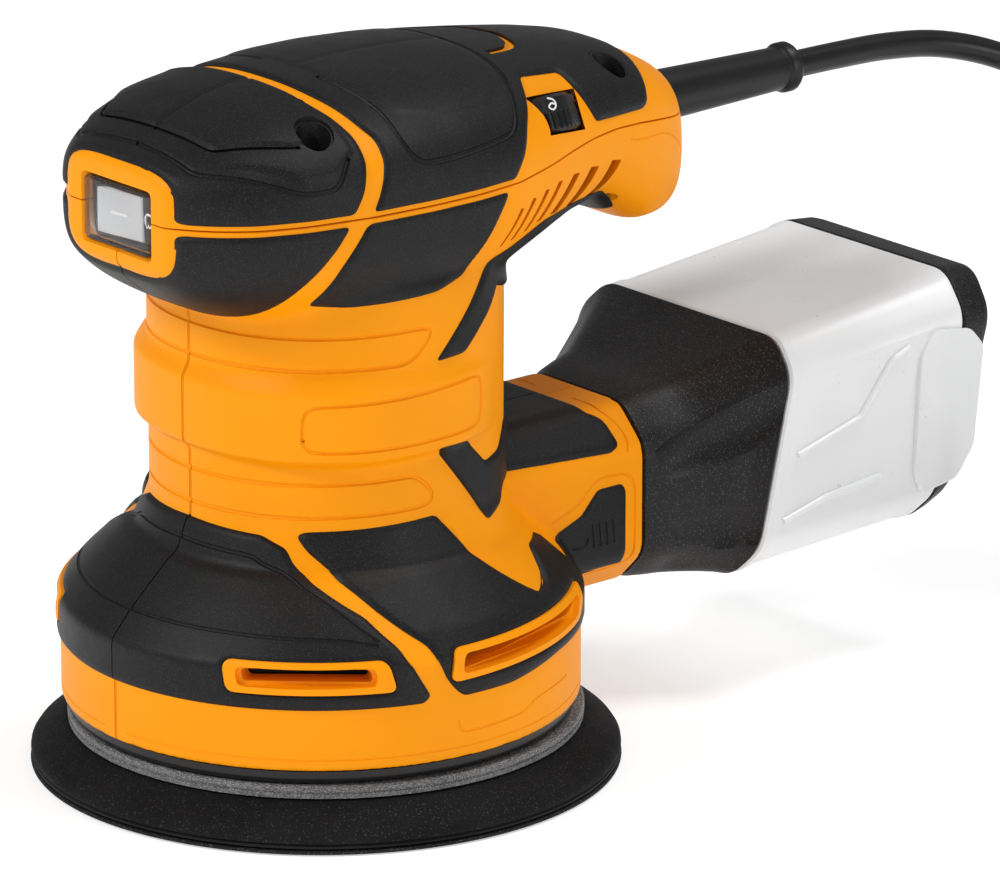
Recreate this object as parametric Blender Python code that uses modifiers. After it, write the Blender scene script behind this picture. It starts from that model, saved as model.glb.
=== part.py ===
"""Random orbital sander: a palm-grip housing over a 125 mm pad, with a dust box on its rear port.

Sizes are in millimetres and become metres through MM. The spindle axis is the Z axis, the lower
face of the abrasive disc is z = 0, the switch faces -Y, and the dust box and cord leave at +Y.
"""

import math

import bmesh
import bpy
from mathutils import Matrix, Vector

MM = 0.001
GAP = 0.3

# Pad stack, from the bottom up.
PAD_RADIUS = 62.5
ORBIT = 1.25
DISC_THICKNESS = 0.9
HOOK_THICKNESS = 0.7
FOAM_THICKNESS = 6.8
BACKING_THICKNESS = 2.9
BRAKE_THICKNESS = 2.8
HOLE_COUNT = 8
HOLE_CIRCLE = 32.5
HOLE_RADIUS = 5.0
SCREW_WELL_RADIUS = 9.0

# Housing.
WALL = 2.5
SKIRT_RADIUS = 54.8
SKIRT_WALL_HEIGHT = 22.1
NECK_RADIUS = 36.2
NECK_CENTRE = 1.7
BELT_PROUD = 2.1
HEAD_HALF_WIDTH = 38.4
HEAD_REACH = 92.0
HEAD_TOP = 152.3
SPLIT_HEIGHT = 129.3
SKIN_INNER = 0.5
SKIN_OUTER = 1.1
PORT_HALF_WIDTH = 21.8
PORT_BOTTOM = 26.8
PORT_TOP = 67.2
PORT_END = 71.2
PORT_CHAMFER = 8.0
RING_STEPS = 22
NECK_STEPS = 30

# Switch and dial.
WINDOW_HALF_WIDTH = 10.85
WINDOW_HALF_HEIGHT = 7.05
WINDOW_HEIGHT = 128.4
ROCKER_PIVOT_Y = -46.5
ROCKER_TILT = 8.0
DIAL_RADIUS = 12.0
DIAL_THICKNESS = 8.0
DIAL_TILT = 25.0
DIAL_Y = 0.41848 * HEAD_REACH
DIAL_RIM_HEIGHT = 140.0
DIAL_PROUD = 0.9

# Motor, on the spindle axis.
SHAFT_RADIUS = 4.0
BEARING_RADIUS = 11.0
BEARING_WIDTH = 7.0
FAN_RADIUS = 38.0
FAN_BLADES = 12
STATOR_RADIUS = 31.0
ARMATURE_RADIUS = 18.8
BRUSH_HALF_WIDTH = 3.0
COMMUTATOR_RADIUS = 9.5
PAD_STUD_RADIUS = 4.7

# Dust box: half width and wall, then its slanted frames as (y, z) of the lower and upper edge.
BOX_HALF_WIDTH = 34.7
BOX_WALL = 2.0
BOX_CHAMFER = 8.0

# Sleeve and cord.
SLEEVE_RADIUS = 5.8
SLEEVE_END = 131.0
SLEEVE_HEIGHT = 127.5
CORD_DIAMETER = 6.0
COIL_CENTRE = (100.0, 174.0)
COIL_TURNS_ACROSS = 4
COIL_INNER_TURN = 24.0
SCREW_HEAD_RADIUS = 3.4

# Heights that follow from the stack.
HOOK_BOTTOM = DISC_THICKNESS + GAP
FOAM_BOTTOM = HOOK_BOTTOM + HOOK_THICKNESS + GAP
BACKING_BOTTOM = FOAM_BOTTOM + FOAM_THICKNESS + GAP
BRAKE_BOTTOM = BACKING_BOTTOM + BACKING_THICKNESS + GAP
SKIRT_BOTTOM = BRAKE_BOTTOM + BRAKE_THICKNESS + GAP
SKIRT_SHOULDER = SKIRT_BOTTOM + SKIRT_WALL_HEIGHT
SHAFT_TOP = SPLIT_HEIGHT + 2.2
CORE_BOTTOM = SKIRT_SHOULDER + 30.3
CORE_TOP = SHAFT_TOP - 28.5

YELLOW = (0.98, 0.38, 0.005)
RUBBER = (0.02, 0.02, 0.02)
STEEL = (0.6, 0.6, 0.62)
COPPER = (0.72, 0.3, 0.12)

# Head sections along Y: place, bottom, top and half width, then corner roundness above and below.
# Places behind the spindle are shares of HEAD_REACH, and widths and tops follow their driving sizes.
HEAD_STATIONS = (
    (-52.8, 118.6, -12.9, 0.400, 5.0, 5.0),
    (-50.5, 116.0, -11.3, 0.521, 3.6, 3.6),
    (-46.0, 112.0, -9.7, 0.656, 3.0, 3.0),
    (-40.0, 108.5, -6.9, 0.781, 2.7, 2.7),
    (-30.0, 104.0, -3.6, 0.885, 2.5, 2.5),
    (-15.0, 101.5, -1.5, 0.969, 2.4, 2.5),
    (0.0, 101.0, -0.6, 1.000, 2.4, 2.5),
    (0.130, 101.0, -0.6, 0.997, 2.4, 2.5),
    (0.261, 103.0, -1.2, 0.958, 2.4, 2.5),
    (0.391, 107.5, -2.3, 0.875, 2.5, 2.5),
    (0.522, 112.0, -3.6, 0.766, 2.5, 2.6),
    (0.652, 114.3, -5.4, 0.677, 2.6, 2.8),
    (0.761, 108.5, -7.4, 0.609, 2.7, 2.8),
    (0.848, 104.3, -10.3, 0.536, 2.8, 2.8),
    (0.924, 104.3, -14.0, 0.443, 2.8, 2.8),
    (0.974, 106.5, -17.8, 0.339, 2.7, 2.7),
    (1.000, 111.0, -24.0, 0.190, 2.4, 2.4),
)

DOCUMENT = bpy.data


def clear_scene():
    for obj in list(DOCUMENT.objects):
        DOCUMENT.objects.remove(obj, do_unlink=True)
    for name in ("orbital_sander", "cutters"):
        collection = DOCUMENT.collections.new(name)
        bpy.context.scene.collection.children.link(collection)


def add(name, mesh, cutter=False):
    obj = DOCUMENT.objects.new(name, mesh)
    DOCUMENT.collections["cutters" if cutter else "orbital_sander"].objects.link(obj)
    if cutter:
        obj.hide_render = True
        obj.display_type = "WIRE"
    return obj


def mesh_of(build, name):
    """A mesh filled by the function build, with its faces pointing out."""
    bm = bmesh.new()
    build(bm)
    bmesh.ops.recalc_face_normals(bm, faces=bm.faces)
    mesh = DOCUMENT.meshes.new(name)
    bm.to_mesh(mesh)
    bm.free()
    return mesh


def loft(name, rings, cutter=False):
    """A closed solid through rings of equal length, given in millimetres."""

    def build(bm):
        rows = [[bm.verts.new(Vector(p) * MM) for p in ring] for ring in rings]
        count = len(rows[0])
        for low, high in zip(rows, rows[1:]):
            for i in range(count):
                j = (i + 1) % count
                bm.faces.new((low[i], low[j], high[j], high[i]))
        bm.faces.new(rows[0])
        bm.faces.new(rows[-1])
        bmesh.ops.triangulate(bm, faces=[face for face in bm.faces if len(face.verts) == 4])

    return add(name, mesh_of(build, name), cutter)


def cylinder(name, radius, bottom, top, centre=(0.0, 0.0), steps=32, cutter=False, top_radius=None):
    """An upright cylinder or cone between two heights."""

    def build(bm):
        place = Vector((centre[0], centre[1], (bottom + top) / 2)) * MM
        bmesh.ops.create_cone(
            bm,
            cap_ends=True,
            segments=steps,
            radius1=radius * MM,
            radius2=(radius if top_radius is None else top_radius) * MM,
            depth=(top - bottom) * MM,
            matrix=Matrix.Translation(place),
        )

    return add(name, mesh_of(build, name), cutter)


def box(name, low, high, cutter=False):
    """A box between two corners."""

    def build(bm):
        size = Vector(high) - Vector(low)
        middle = (Vector(high) + Vector(low)) / 2
        matrix = Matrix.Translation(middle * MM) @ Matrix.Diagonal((*(size * MM), 1.0))
        bmesh.ops.create_cube(bm, size=1.0, matrix=matrix)

    return add(name, mesh_of(build, name), cutter)


def prism(name, outline, axis, low, high, cutter=True):
    """An outline extruded along X (its points are y, z) or along Z (its points are x, y)."""

    def point(a, b, depth):
        return (depth, a, b) if axis == "X" else (a, b, depth)

    rings = [[point(a, b, depth) for a, b in outline] for depth in (low, high)]
    return loft(name, rings, cutter)


def sector(name, radii, angles, heights, steps=5, cutter=True):
    """A block of a ring about the spindle axis, between two radii, two angles and two heights."""
    rings = []
    for i in range(steps + 1):
        angle = math.radians(angles[0] + (angles[1] - angles[0]) * i / steps)
        c, s = math.cos(angle), math.sin(angle)
        low, high = heights
        near, far = radii
        corners = ((near, low), (far, low), (far, high), (near, high))
        rings.append([(r * c, r * s, z) for r, z in corners])
    return loft(name, rings, cutter)


def turned(name, profile, centre=(0.0, 0.0), steps=32, along_y=False, height=0.0):
    """A closed (radius, height) profile turned about an upright axis, or about one along Y."""
    mesh = DOCUMENT.meshes.new(name)
    points = [(r * MM, 0.0, z * MM) for r, z in profile]
    closed = profile[0][0] > 0 or profile[-1][0] > 0
    edges = [(i, i + 1) for i in range(len(points) - 1)]
    if closed:
        edges.append((len(points) - 1, 0))
    mesh.from_pydata(points, edges, [])
    obj = add(name, mesh)
    screw = obj.modifiers.new("turn", "SCREW")
    screw.steps = steps
    screw.render_steps = steps
    screw.use_merge_vertices = True
    screw.merge_threshold = 0.00005
    freeze(obj)
    if along_y:
        turn = Matrix.Rotation(-math.pi / 2, 4, "X")
        obj.data.transform(Matrix.Translation(Vector((centre[0], 0.0, height)) * MM) @ turn)
    else:
        obj.data.transform(Matrix.Translation(Vector((centre[0], centre[1], height)) * MM))
    return obj


def freeze(obj):
    """Replaces an object's mesh by its evaluated one and clears its modifiers."""
    depsgraph = bpy.context.evaluated_depsgraph_get()
    mesh = DOCUMENT.meshes.new_from_object(obj.evaluated_get(depsgraph), depsgraph=depsgraph)
    obj.modifiers.clear()
    obj.data = mesh


def combine(obj, others, operation):
    """Applies Boolean modifiers with the exact solver, one for each other object."""
    for other in others:
        modifier = obj.modifiers.new(operation.lower(), "BOOLEAN")
        modifier.operation = operation
        modifier.solver = "EXACT"
        modifier.object = other
    freeze(obj)
    return obj


def copy_of(obj, name, cutter=False):
    return add(name, obj.data.copy(), cutter)


def mirrored(obj, name):
    """The same solid on the other side of the plane x = 0."""
    other = copy_of(obj, name)
    other.data.transform(Matrix.Diagonal((-1.0, 1.0, 1.0, 1.0)))
    other.data.flip_normals()
    return other


def finish_material(obj, colour, roughness, metallic=0.0):
    material = DOCUMENT.materials.new(obj.name)
    material.use_nodes = True
    shader = material.node_tree.nodes["Principled BSDF"]
    shader.inputs["Base Color"].default_value = (*colour, 1.0)
    shader.inputs["Roughness"].default_value = roughness
    shader.inputs["Metallic"].default_value = metallic
    material.diffuse_color = (*colour, 1.0)
    obj.data.materials.clear()
    obj.data.materials.append(material)
    obj.data.shade_smooth()
    obj.data.set_sharp_from_angle(angle=math.radians(30))
    return obj


# ---------------------------------------------------------------- housing shapes


def rounded(angle, roundness):
    c, s = math.cos(angle), math.sin(angle)
    power = 2.0 / roundness
    return math.copysign(abs(c) ** power, c), math.copysign(abs(s) ** power, s)


def station_place(place):
    """Places ahead of the spindle are lengths, and those behind it are shares of the reach."""
    return place * HEAD_REACH if place > 0 else place


def head_size(y):
    """Bottom, top, half width and the two corner roundnesses of the head at a place along Y."""
    rows = [(station_place(row[0]), *row[1:]) for row in HEAD_STATIONS]
    y = min(max(y, rows[0][0]), rows[-1][0])
    for low, high in zip(rows, rows[1:]):
        if y <= high[0]:
            share = (y - low[0]) / (high[0] - low[0])
            bottom, top, width, above, below = (a + (b - a) * share for a, b in zip(low[1:], high[1:]))
            return bottom, HEAD_TOP + top, HEAD_HALF_WIDTH * width, above, below
    return None


def head_middle(y):
    """Height of the head's widest line, which drops towards its rear end."""
    fall = max(0.0, y / HEAD_REACH - 0.66)
    return SPLIT_HEIGHT - 27.0 * fall


def head_ring(y, offset, steps, shift=0.0):
    bottom, top, width, above, below = head_size(y)
    middle = head_middle(y)
    ring = []
    for i in range(steps):
        angle = 2 * math.pi * i / steps
        c, s = rounded(angle, above if angle < math.pi else below)
        rise = (top + offset - middle) if s > 0 else (middle - bottom + offset)
        ring.append(((width + offset) * c, y + shift, middle + rise * s))
    return ring


def head_side(y, z):
    """Half width of the head's surface at a place and a height."""
    bottom, top, width, above, below = head_size(y)
    middle = head_middle(y)
    share = (z - middle) / (top - middle) if z > middle else (middle - z) / (middle - bottom)
    power = above if z > middle else below
    return width * max(0.0, 1.0 - abs(share) ** power) ** (1.0 / power)


def head_height(x, y):
    """Height of the head's upper surface over a point."""
    bottom, top, width, above, below = head_size(y)
    middle = head_middle(y)
    return middle + (top - middle) * max(0.0, 1.0 - abs(x / width) ** above) ** (1.0 / above)


def neck_ring(z, radius, depth, centre, roundness, steps):
    ring = []
    for i in range(steps):
        c, s = rounded(2 * math.pi * i / steps, roundness)
        ring.append((radius * c, centre + depth * s, z))
    return ring


def neck_rows():
    """Sections of the skirt, its slope and the neck: height, radius, centre and roundness."""
    step = SKIRT_RADIUS - NECK_RADIUS
    foot = SKIRT_SHOULDER + 23.2
    return (
        (SKIRT_BOTTOM, SKIRT_RADIUS, 0.0, 2.0),
        (SKIRT_SHOULDER, SKIRT_RADIUS, 0.0, 2.0),
        (SKIRT_SHOULDER + 4.9, SKIRT_RADIUS - 0.205 * step, 0.6, 2.0),
        (SKIRT_SHOULDER + 9.5, SKIRT_RADIUS - 0.473 * step, 0.7, 2.05),
        (SKIRT_SHOULDER + 14.0, SKIRT_RADIUS - 0.731 * step, 1.1, 2.1),
        (SKIRT_SHOULDER + 15.5, SKIRT_RADIUS - 0.855 * step, 1.3, 2.1),
        (foot, NECK_RADIUS, NECK_CENTRE, 2.15),
        (104.0, NECK_RADIUS, NECK_CENTRE, 2.2),
        (112.0, NECK_RADIUS + 1.0, 0.6, 2.2),
    )


def port_ring(y, grow, low=0.0):
    """An upright eight-sided section of the dust port."""
    half = PORT_HALF_WIDTH + grow
    bottom = PORT_BOTTOM - grow + low
    top = PORT_TOP + grow
    cut = PORT_CHAMFER + 0.4 * grow
    corners = (
        (half, bottom + cut),
        (half, top - cut),
        (half - cut, top),
        (cut - half, top),
        (-half, top - cut),
        (-half, bottom + cut),
        (cut - half, bottom),
        (half - cut, bottom),
    )
    return [(x, y, z) for x, z in corners]


def outer_body(name, offset):
    """The housing's outer form, grown by an offset: head, neck with its belt, skirt and port."""
    rows = [station_place(row[0]) for row in HEAD_STATIONS]
    ends = {rows[0]: -offset, rows[-1]: offset}
    head = loft(name, [head_ring(y, offset, RING_STEPS, ends.get(y, 0.0)) for y in rows], True)
    neck = [neck_ring(z, r + offset, r + offset, c, n, NECK_STEPS) for z, r, c, n in neck_rows()]
    belt_rows = ((75.5, 0.0), (77.0, BELT_PROUD), (91.0, BELT_PROUD), (94.6, 0.0))
    belt = []
    for z, proud in belt_rows:
        radius = NECK_RADIUS + proud + offset
        belt.append(neck_ring(z, radius, radius - 3.0, NECK_CENTRE - 2.7, 2.25, NECK_STEPS))
    port = [port_ring(30.0, offset), port_ring(PORT_END + min(offset, 0.0), offset)]
    others = [
        loft(name + "_neck", neck, True),
        loft(name + "_belt", belt, True),
        loft(name + "_port", port, True),
    ]
    return combine(head, others, "UNION")


def inner_body():
    """The housing's cavity: the head and neck inside their wall, the open skirt and the port bore."""
    rows = [station_place(row[0]) for row in HEAD_STATIONS[::2]]
    places = [rows[0] + WALL] + rows[1:-1] + [rows[-1] - WALL]
    head = loft("cavity", [head_ring(y, -WALL, 16) for y in places], True)
    neck = []
    for z, r, c, n in neck_rows():
        drop = {SKIRT_BOTTOM: -WALL, SKIRT_SHOULDER: -0.5}.get(z, -0.8 if z < 60 else 0.0)
        neck.append(neck_ring(z + drop, r - WALL, r - WALL, c, n, 24))
    bore = [port_ring(NECK_RADIUS + NECK_CENTRE + GAP, -WALL), port_ring(PORT_END + WALL, -WALL)]
    return combine(head, [loft("cavity_neck", neck, True), loft("cavity_bore", bore, True)], "UNION")


def split_line():
    """The parting line between the top cover and the body halves, seen from the side."""
    rise = (
        (24.0, 0.0),
        (34.0, 0.9),
        (43.0, 1.9),
        (51.5, 2.6),
        (59.0, 2.7),
        (68.0, 1.9),
        (77.0, 0.5),
        (84.0, -0.8),
    )
    reach = HEAD_REACH / 92.0
    line = [(-60.0, SPLIT_HEIGHT)] + [(y * reach, SPLIT_HEIGHT + z) for y, z in rise]
    return line + [(HEAD_REACH + 10.0, SPLIT_HEIGHT - 1.8)]


def screw_places():
    """Centres of the housing screws and the height of the seat under each head."""
    front = (0.69 * HEAD_HALF_WIDTH, -22.5)
    rear = (0.456 * HEAD_HALF_WIDTH, 0.70 * HEAD_REACH)
    places = []
    for x, y in (front, rear):
        seat = head_height(x, y) - 6.0
        places += [(x, y, seat, "right"), (-x, y, seat, "left")]
    return places


def screw_towers():
    """Screw towers that stay solid when the housing is hollowed."""
    towers = []
    for x, y, seat, _side in screw_places():
        towers.append(cylinder("tower", SCREW_HEAD_RADIUS + 2.3, seat - 29.3, 170.0, (x, y), 18, True))
    return towers


def screw_cutters():
    cutters = []
    for x, y, seat, _side in screw_places():
        cutters.append(cylinder("recess", SCREW_HEAD_RADIUS + 0.8, seat, 170.0, (x, y), 20, True))
        cutters.append(cylinder("bore", 2.1, seat - 24.0, seat + 1.0, (x, y), 12, True))
    return cutters


def dial_matrix():
    """Place and tilt of the dial's axis, so that its rim stands a little proud of the head."""
    tilt = math.radians(DIAL_TILT)
    normal = Vector((math.cos(tilt), 0.0, math.sin(tilt)))
    rim = Vector((head_side(DIAL_Y, DIAL_RIM_HEIGHT), DIAL_Y, DIAL_RIM_HEIGHT))
    centre = rim + normal * (DIAL_PROUD - DIAL_RADIUS)
    return Matrix.Translation(centre * MM) @ Matrix.Rotation(-tilt, 4, "Y")


def vent_cutters():
    """Two air slots on each side of the skirt and a row of slanted louvres on each side of the handle."""
    cutters = []
    middle = SKIRT_SHOULDER - 1.4
    for start, end in ((-57.0, -28.0), (-7.0, 24.0)):
        for side in (1, -1):
            angles = (start, end) if side > 0 else (180 - end, 180 - start)
            radii = (SKIRT_RADIUS - 2 * WALL, SKIRT_RADIUS + 3.0)
            cutters.append(sector("air_slot", radii, angles, (middle - 1.6, middle + 1.6)))
    reach = HEAD_REACH / 92.0
    for i in range(6):
        y = (58.5 - 4.6 * i) * reach
        top = 124.5 - 0.5 * i
        low = 118.2 + 0.55 * i
        slant = 0.83 * (top - low)
        outline = ((y - slant, low), (y - slant + 1.7, low), (y + 1.7, top), (y, top))
        for side in (1, -1):
            near, far = (14.0, 50.0) if side > 0 else (-50.0, -14.0)
            cutters.append(prism("louvre", outline, "X", near, far))
    return cutters


def make_shells():
    """Top cover and two body halves, parted from one hollow form."""
    solid = outer_body("outer", 0.0)
    shell = copy_of(solid, "shell", True)
    combine(shell, [combine(inner_body(), screw_towers(), "DIFFERENCE")], "DIFFERENCE")
    window = box(
        "switch_window",
        (-WINDOW_HALF_WIDTH, -70.0, WINDOW_HEIGHT - WINDOW_HALF_HEIGHT),
        (WINDOW_HALF_WIDTH, -46.0, WINDOW_HEIGHT + WINDOW_HALF_HEIGHT),
        True,
    )
    slot_reach = DIAL_THICKNESS / 2 + 0.5
    dial_slot = cylinder("dial_slot", DIAL_RADIUS + 0.5, -slot_reach, slot_reach, cutter=True)
    dial_slot.data.transform(dial_matrix())
    sleeve_hole = turned(
        "sleeve_hole",
        ((0.0, SLEEVE_END), (SLEEVE_RADIUS + GAP, SLEEVE_END), (SLEEVE_RADIUS + GAP, 60.0), (0.0, 60.0)),
        steps=24,
        along_y=True,
        height=SLEEVE_HEIGHT,
    )
    as_cutter(sleeve_hole)
    combine(shell, [window, dial_slot, sleeve_hole, *vent_cutters(), *screw_cutters()], "DIFFERENCE")
    line = split_line()
    half = GAP / 2
    above = [(y, z + half) for y, z in line] + [(line[-1][0], 200.0), (line[0][0], 200.0)]
    below = [(y, z - half) for y, z in line] + [(line[-1][0], 0.0), (line[0][0], 0.0)]
    cover = copy_of(shell, "top_cover")
    combine(cover, [prism("above_split", above, "X", -60.0, 60.0)], "INTERSECT")
    right = copy_of(shell, "body_right")
    combine(right, [prism("below_split", below, "X", half, 80.0)], "INTERSECT")
    left = copy_of(shell, "body_left")
    combine(left, [prism("below_split_left", below, "X", -80.0, -half)], "INTERSECT")
    for obj in (cover, right, left):
        finish_material(obj, YELLOW, 0.38)
    return cover, right, left


def as_cutter(obj):
    DOCUMENT.collections["orbital_sander"].objects.unlink(obj)
    DOCUMENT.collections["cutters"].objects.link(obj)
    obj.hide_render = True
    obj.display_type = "WIRE"


def grip_outlines():
    """Outlines of the rubber skins: name, sides of x, and points (y, z)."""
    low = SPLIT_HEIGHT + 1.2
    under = SPLIT_HEIGHT - 1.4
    reach = HEAD_REACH / 92.0
    foot = SKIRT_SHOULDER + 23.2
    front = ((-50.2, low), (-19.0, low), (-16.0, 138.0), (-16.6, 160.0), (-50.2, 160.0))
    palm = (
        (-14.2, low),
        (23.0 * reach, low),
        (28.0 * reach, 138.5),
        (35.0 * reach, 147.5),
        (48.0 * reach, 146.4),
        (52.5 * reach, 135.4),
        (70.5 * reach, 134.4),
        (74.0 * reach, 143.5),
        (74.0 * reach, 160.0),
        (-12.8, 160.0),
        (-11.4, 138.0),
    )
    side_front = (
        (-50.2, under),
        (-21.8, under),
        (-27.0, 118.9),
        (-32.0, 109.5),
        (-41.0, 100.0),
        (-50.2, 100.0),
    )
    side_mid = (
        (-16.4, under),
        (20.5, under),
        (14.8, 118.0),
        (10.0, 110.5),
        (-6.0, 107.6),
        (-26.0, 108.4),
        (-25.0, 112.0),
        (-20.5, 122.0),
    )
    under_strip = (
        (3.4, 95.2),
        (9.2, 95.2),
        (19.0, 103.0),
        (27.0, 109.4),
        (36.0, 113.0),
        (36.0, 116.4),
        (25.0, 114.6),
        (16.2, 111.4),
    )
    port_top = ((41.5, foot - 1.8), (62.5, foot - 1.8), (65.0, foot), (61.0, 75.0), (41.5, 75.0))
    port_panel = (
        (47.0, 34.0),
        (65.5, 34.0),
        (65.5, 51.5),
        (58.5, 51.5),
        (54.0, 47.0),
        (47.0, 44.5),
    )
    return (
        ("top_grip_front", (-60.0, 60.0), front),
        ("top_grip_palm", (-60.0, 60.0), palm),
        ("side_grip_front", (GAP / 2, 60.0), side_front),
        ("side_grip_mid", (12.0, 60.0), side_mid),
        ("handle_strip", (20.0, 60.0), under_strip),
        ("port_grip", (GAP / 2, 60.0), port_top),
        ("port_panel", (16.0, 60.0), port_panel),
    )


def base_grips():
    """Cutters for the two rubber skins on each side of the base, as blocks about the spindle."""
    foot = SKIRT_SHOULDER + 22.5
    low = SKIRT_BOTTOM + 13.6
    front = loft_about_spindle("base_front_block", ((-89.6, -62.0), (-89.6, -15.0)), foot, low)
    side = loft_about_spindle("base_side_block", ((-46.0, 24.0), (-8.5, 30.0)), foot - 1.0, low)
    slot = SKIRT_SHOULDER - 1.4
    front_hole = sector("front_slot_clear", (40.0, 90.0), (-61.0, -21.0), (slot - 3.6, slot + 3.6))
    side_hole = sector("side_slot_clear", (40.0, 90.0), (-11.0, 50.0), (slot - 9.0, slot + 3.6))
    combine(front, [front_hole], "DIFFERENCE")
    combine(side, [side_hole], "DIFFERENCE")
    return (("base_grip_front", front), ("base_grip_side", side))


def loft_about_spindle(name, spans, top, bottom):
    """A block about the spindle whose angles change from its top to its bottom."""
    steps = 10
    rings = []
    for i in range(steps + 1):
        share = i / steps
        ring = []
        for (start, end), z in zip(spans, (top, bottom)):
            angle = math.radians(start + (end - start) * share)
            for r in (20.0, 75.0) if z == top else (75.0, 20.0):
                ring.append((r * math.cos(angle), r * math.sin(angle), z))
        rings.append(ring)
    return loft(name, rings, True)


def make_grips():
    """Rubber skins: a thin layer over the housing, cut to each outline, right side then mirrored."""
    layer = outer_body("skin_outer", SKIN_OUTER)
    combine(layer, [outer_body("skin_inner", SKIN_INNER)], "DIFFERENCE")
    for x, y, _seat, _side in screw_places():
        well = cylinder("grip_hole", SCREW_HEAD_RADIUS + 0.8, 120.0, 170.0, (x, y), 16, True)
        combine(layer, [well], "DIFFERENCE")
    parts = [(name, prism(name + "_block", points, "X", *span)) for name, span, points in grip_outlines()]
    parts += list(base_grips())
    for name, block in parts:
        paired = not name.startswith("top_")
        grip = copy_of(layer, name + ("_right" if paired else ""))
        combine(grip, [block], "INTERSECT")
        finish_material(grip, RUBBER, 0.6)
        if paired:
            finish_material(mirrored(grip, name + "_left"), RUBBER, 0.6)


# ---------------------------------------------------------------- inside the housing


def ring_profile(outer, inner, bottom, top):
    return ((outer, top), (outer, bottom), (inner, bottom), (inner, top))


def make_motor():
    bore = SHAFT_RADIUS + GAP
    lower_bearing = SKIRT_SHOULDER + 17.9
    plate_bottom = lower_bearing - 3.6
    shaft = cylinder("armature_shaft", SHAFT_RADIUS, 27.5, SHAFT_TOP, steps=14)
    finish_material(shaft, STEEL, 0.25, 1.0)

    profile = ring_profile(STATOR_RADIUS, ARMATURE_RADIUS + 0.8, CORE_BOTTOM, CORE_TOP)
    stator = turned("stator_core", profile, steps=28)
    slots = []
    for x in (19.0, -19.0):
        slots.append(box("slot", (x - 5.5, -11.0, 60.0), (x + 5.5, 11.0, 110.0), True))
    combine(stator, slots, "DIFFERENCE")
    finish_material(stator, (0.25, 0.25, 0.27), 0.5, 0.8)

    coils = turned("stator_coils", ring_profile(29.0, 21.0, CORE_TOP + GAP, CORE_TOP + 5.5), steps=24)
    ends = [turned("coil_end", ring_profile(29.0, 21.0, CORE_BOTTOM - 4.5, CORE_BOTTOM - GAP), steps=24)]
    as_cutter(ends[0])
    for side in (1, -1):
        low = (side * 22.4 - 1.6, -9.5, CORE_BOTTOM - 2.0)
        high = (side * 22.4 + 1.6, 9.5, CORE_TOP + 2.0)
        ends.append(box("coil_leg", low, high, True))
    combine(coils, ends, "UNION")
    finish_material(coils, COPPER, 0.4, 0.6)

    armature = cylinder("armature_core", ARMATURE_RADIUS, CORE_BOTTOM, CORE_TOP, steps=30)
    hollow = [cylinder("armature_bore", bore, 60.0, 110.0, steps=14, cutter=True)]
    legs = []
    for i in range(6):
        turn = Matrix.Rotation(2 * math.pi * i / 6, 4, "Z")
        notch = box("notch", (13.6, -1.6, 60.0), (24.0, 1.6, 110.0), True)
        notch.data.transform(turn)
        hollow.append(notch)
        leg = box("leg", (14.0, -1.2, CORE_BOTTOM - 2.0), (18.0, 1.2, CORE_TOP + 2.0), True)
        leg.data.transform(turn)
        legs.append(leg)
    combine(armature, hollow, "DIFFERENCE")
    finish_material(armature, (0.3, 0.3, 0.32), 0.45, 0.8)
    upper = ring_profile(18.0, bore + 1.5, CORE_TOP + GAP, CORE_TOP + 6.0)
    lower = ring_profile(18.0, bore + 1.5, CORE_BOTTOM - 4.0, CORE_BOTTOM - GAP)
    windings = turned("armature_windings", upper, steps=18)
    lower_end = turned("winding_end", lower, steps=18)
    as_cutter(lower_end)
    combine(windings, [lower_end, *legs], "UNION")
    finish_material(windings, COPPER, 0.35, 0.7)

    brush_height = CORE_TOP + 13.5
    profile = ring_profile(COMMUTATOR_RADIUS, bore, brush_height - 5.5, brush_height + 5.5)
    finish_material(turned("commutator", profile, steps=24), COPPER, 0.25, 1.0)
    for side, name in ((1, "right"), (-1, "left")):
        near, far = sorted((side * (COMMUTATOR_RADIUS + GAP), side * 22.0))
        half = BRUSH_HALF_WIDTH
        low, high = brush_height - half, brush_height + half
        brush = box("carbon_brush_" + name, (near, -half, low), (far, half, high))
        finish_material(brush, (0.05, 0.05, 0.05), 0.7)
        near, far = sorted((side * 13.0, side * 26.0))
        wall = half + 1.8
        low, high = brush_height - wall, brush_height + wall
        holder = box("brush_holder_" + name, (near, -wall, low), (far, wall, high))
        clear = half + GAP
        low, high = brush_height - clear, brush_height + clear
        hole = box("brush_hole", (-40.0, -clear, low), (40.0, clear, high), True)
        combine(holder, [hole], "DIFFERENCE")
        finish_material(holder, (0.7, 0.5, 0.2), 0.35, 0.9)

    upper_bearing = SHAFT_TOP - BEARING_WIDTH - 0.5
    for name, bottom in (("lower_bearing", lower_bearing), ("upper_bearing", upper_bearing)):
        profile = ring_profile(BEARING_RADIUS, bore, bottom, bottom + BEARING_WIDTH)
        bearing = turned(name, profile, steps=24)
        finish_material(bearing, STEEL, 0.2, 1.0)
    seat = BEARING_RADIUS + GAP
    plate_top = lower_bearing + BEARING_WIDTH
    plate = (
        (seat + 2.2, plate_top),
        (seat + 2.2, plate_bottom + 3.0),
        (NECK_RADIUS - WALL - 0.6, plate_bottom + 3.0),
        (NECK_RADIUS - WALL - 0.6, plate_bottom),
        (bore + 3.0, plate_bottom),
        (bore + 3.0, lower_bearing - GAP),
        (seat, lower_bearing - GAP),
        (seat, plate_top),
    )
    finish_material(turned("bearing_plate", plate, steps=28), (0.55, 0.55, 0.56), 0.45, 0.9)

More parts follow.
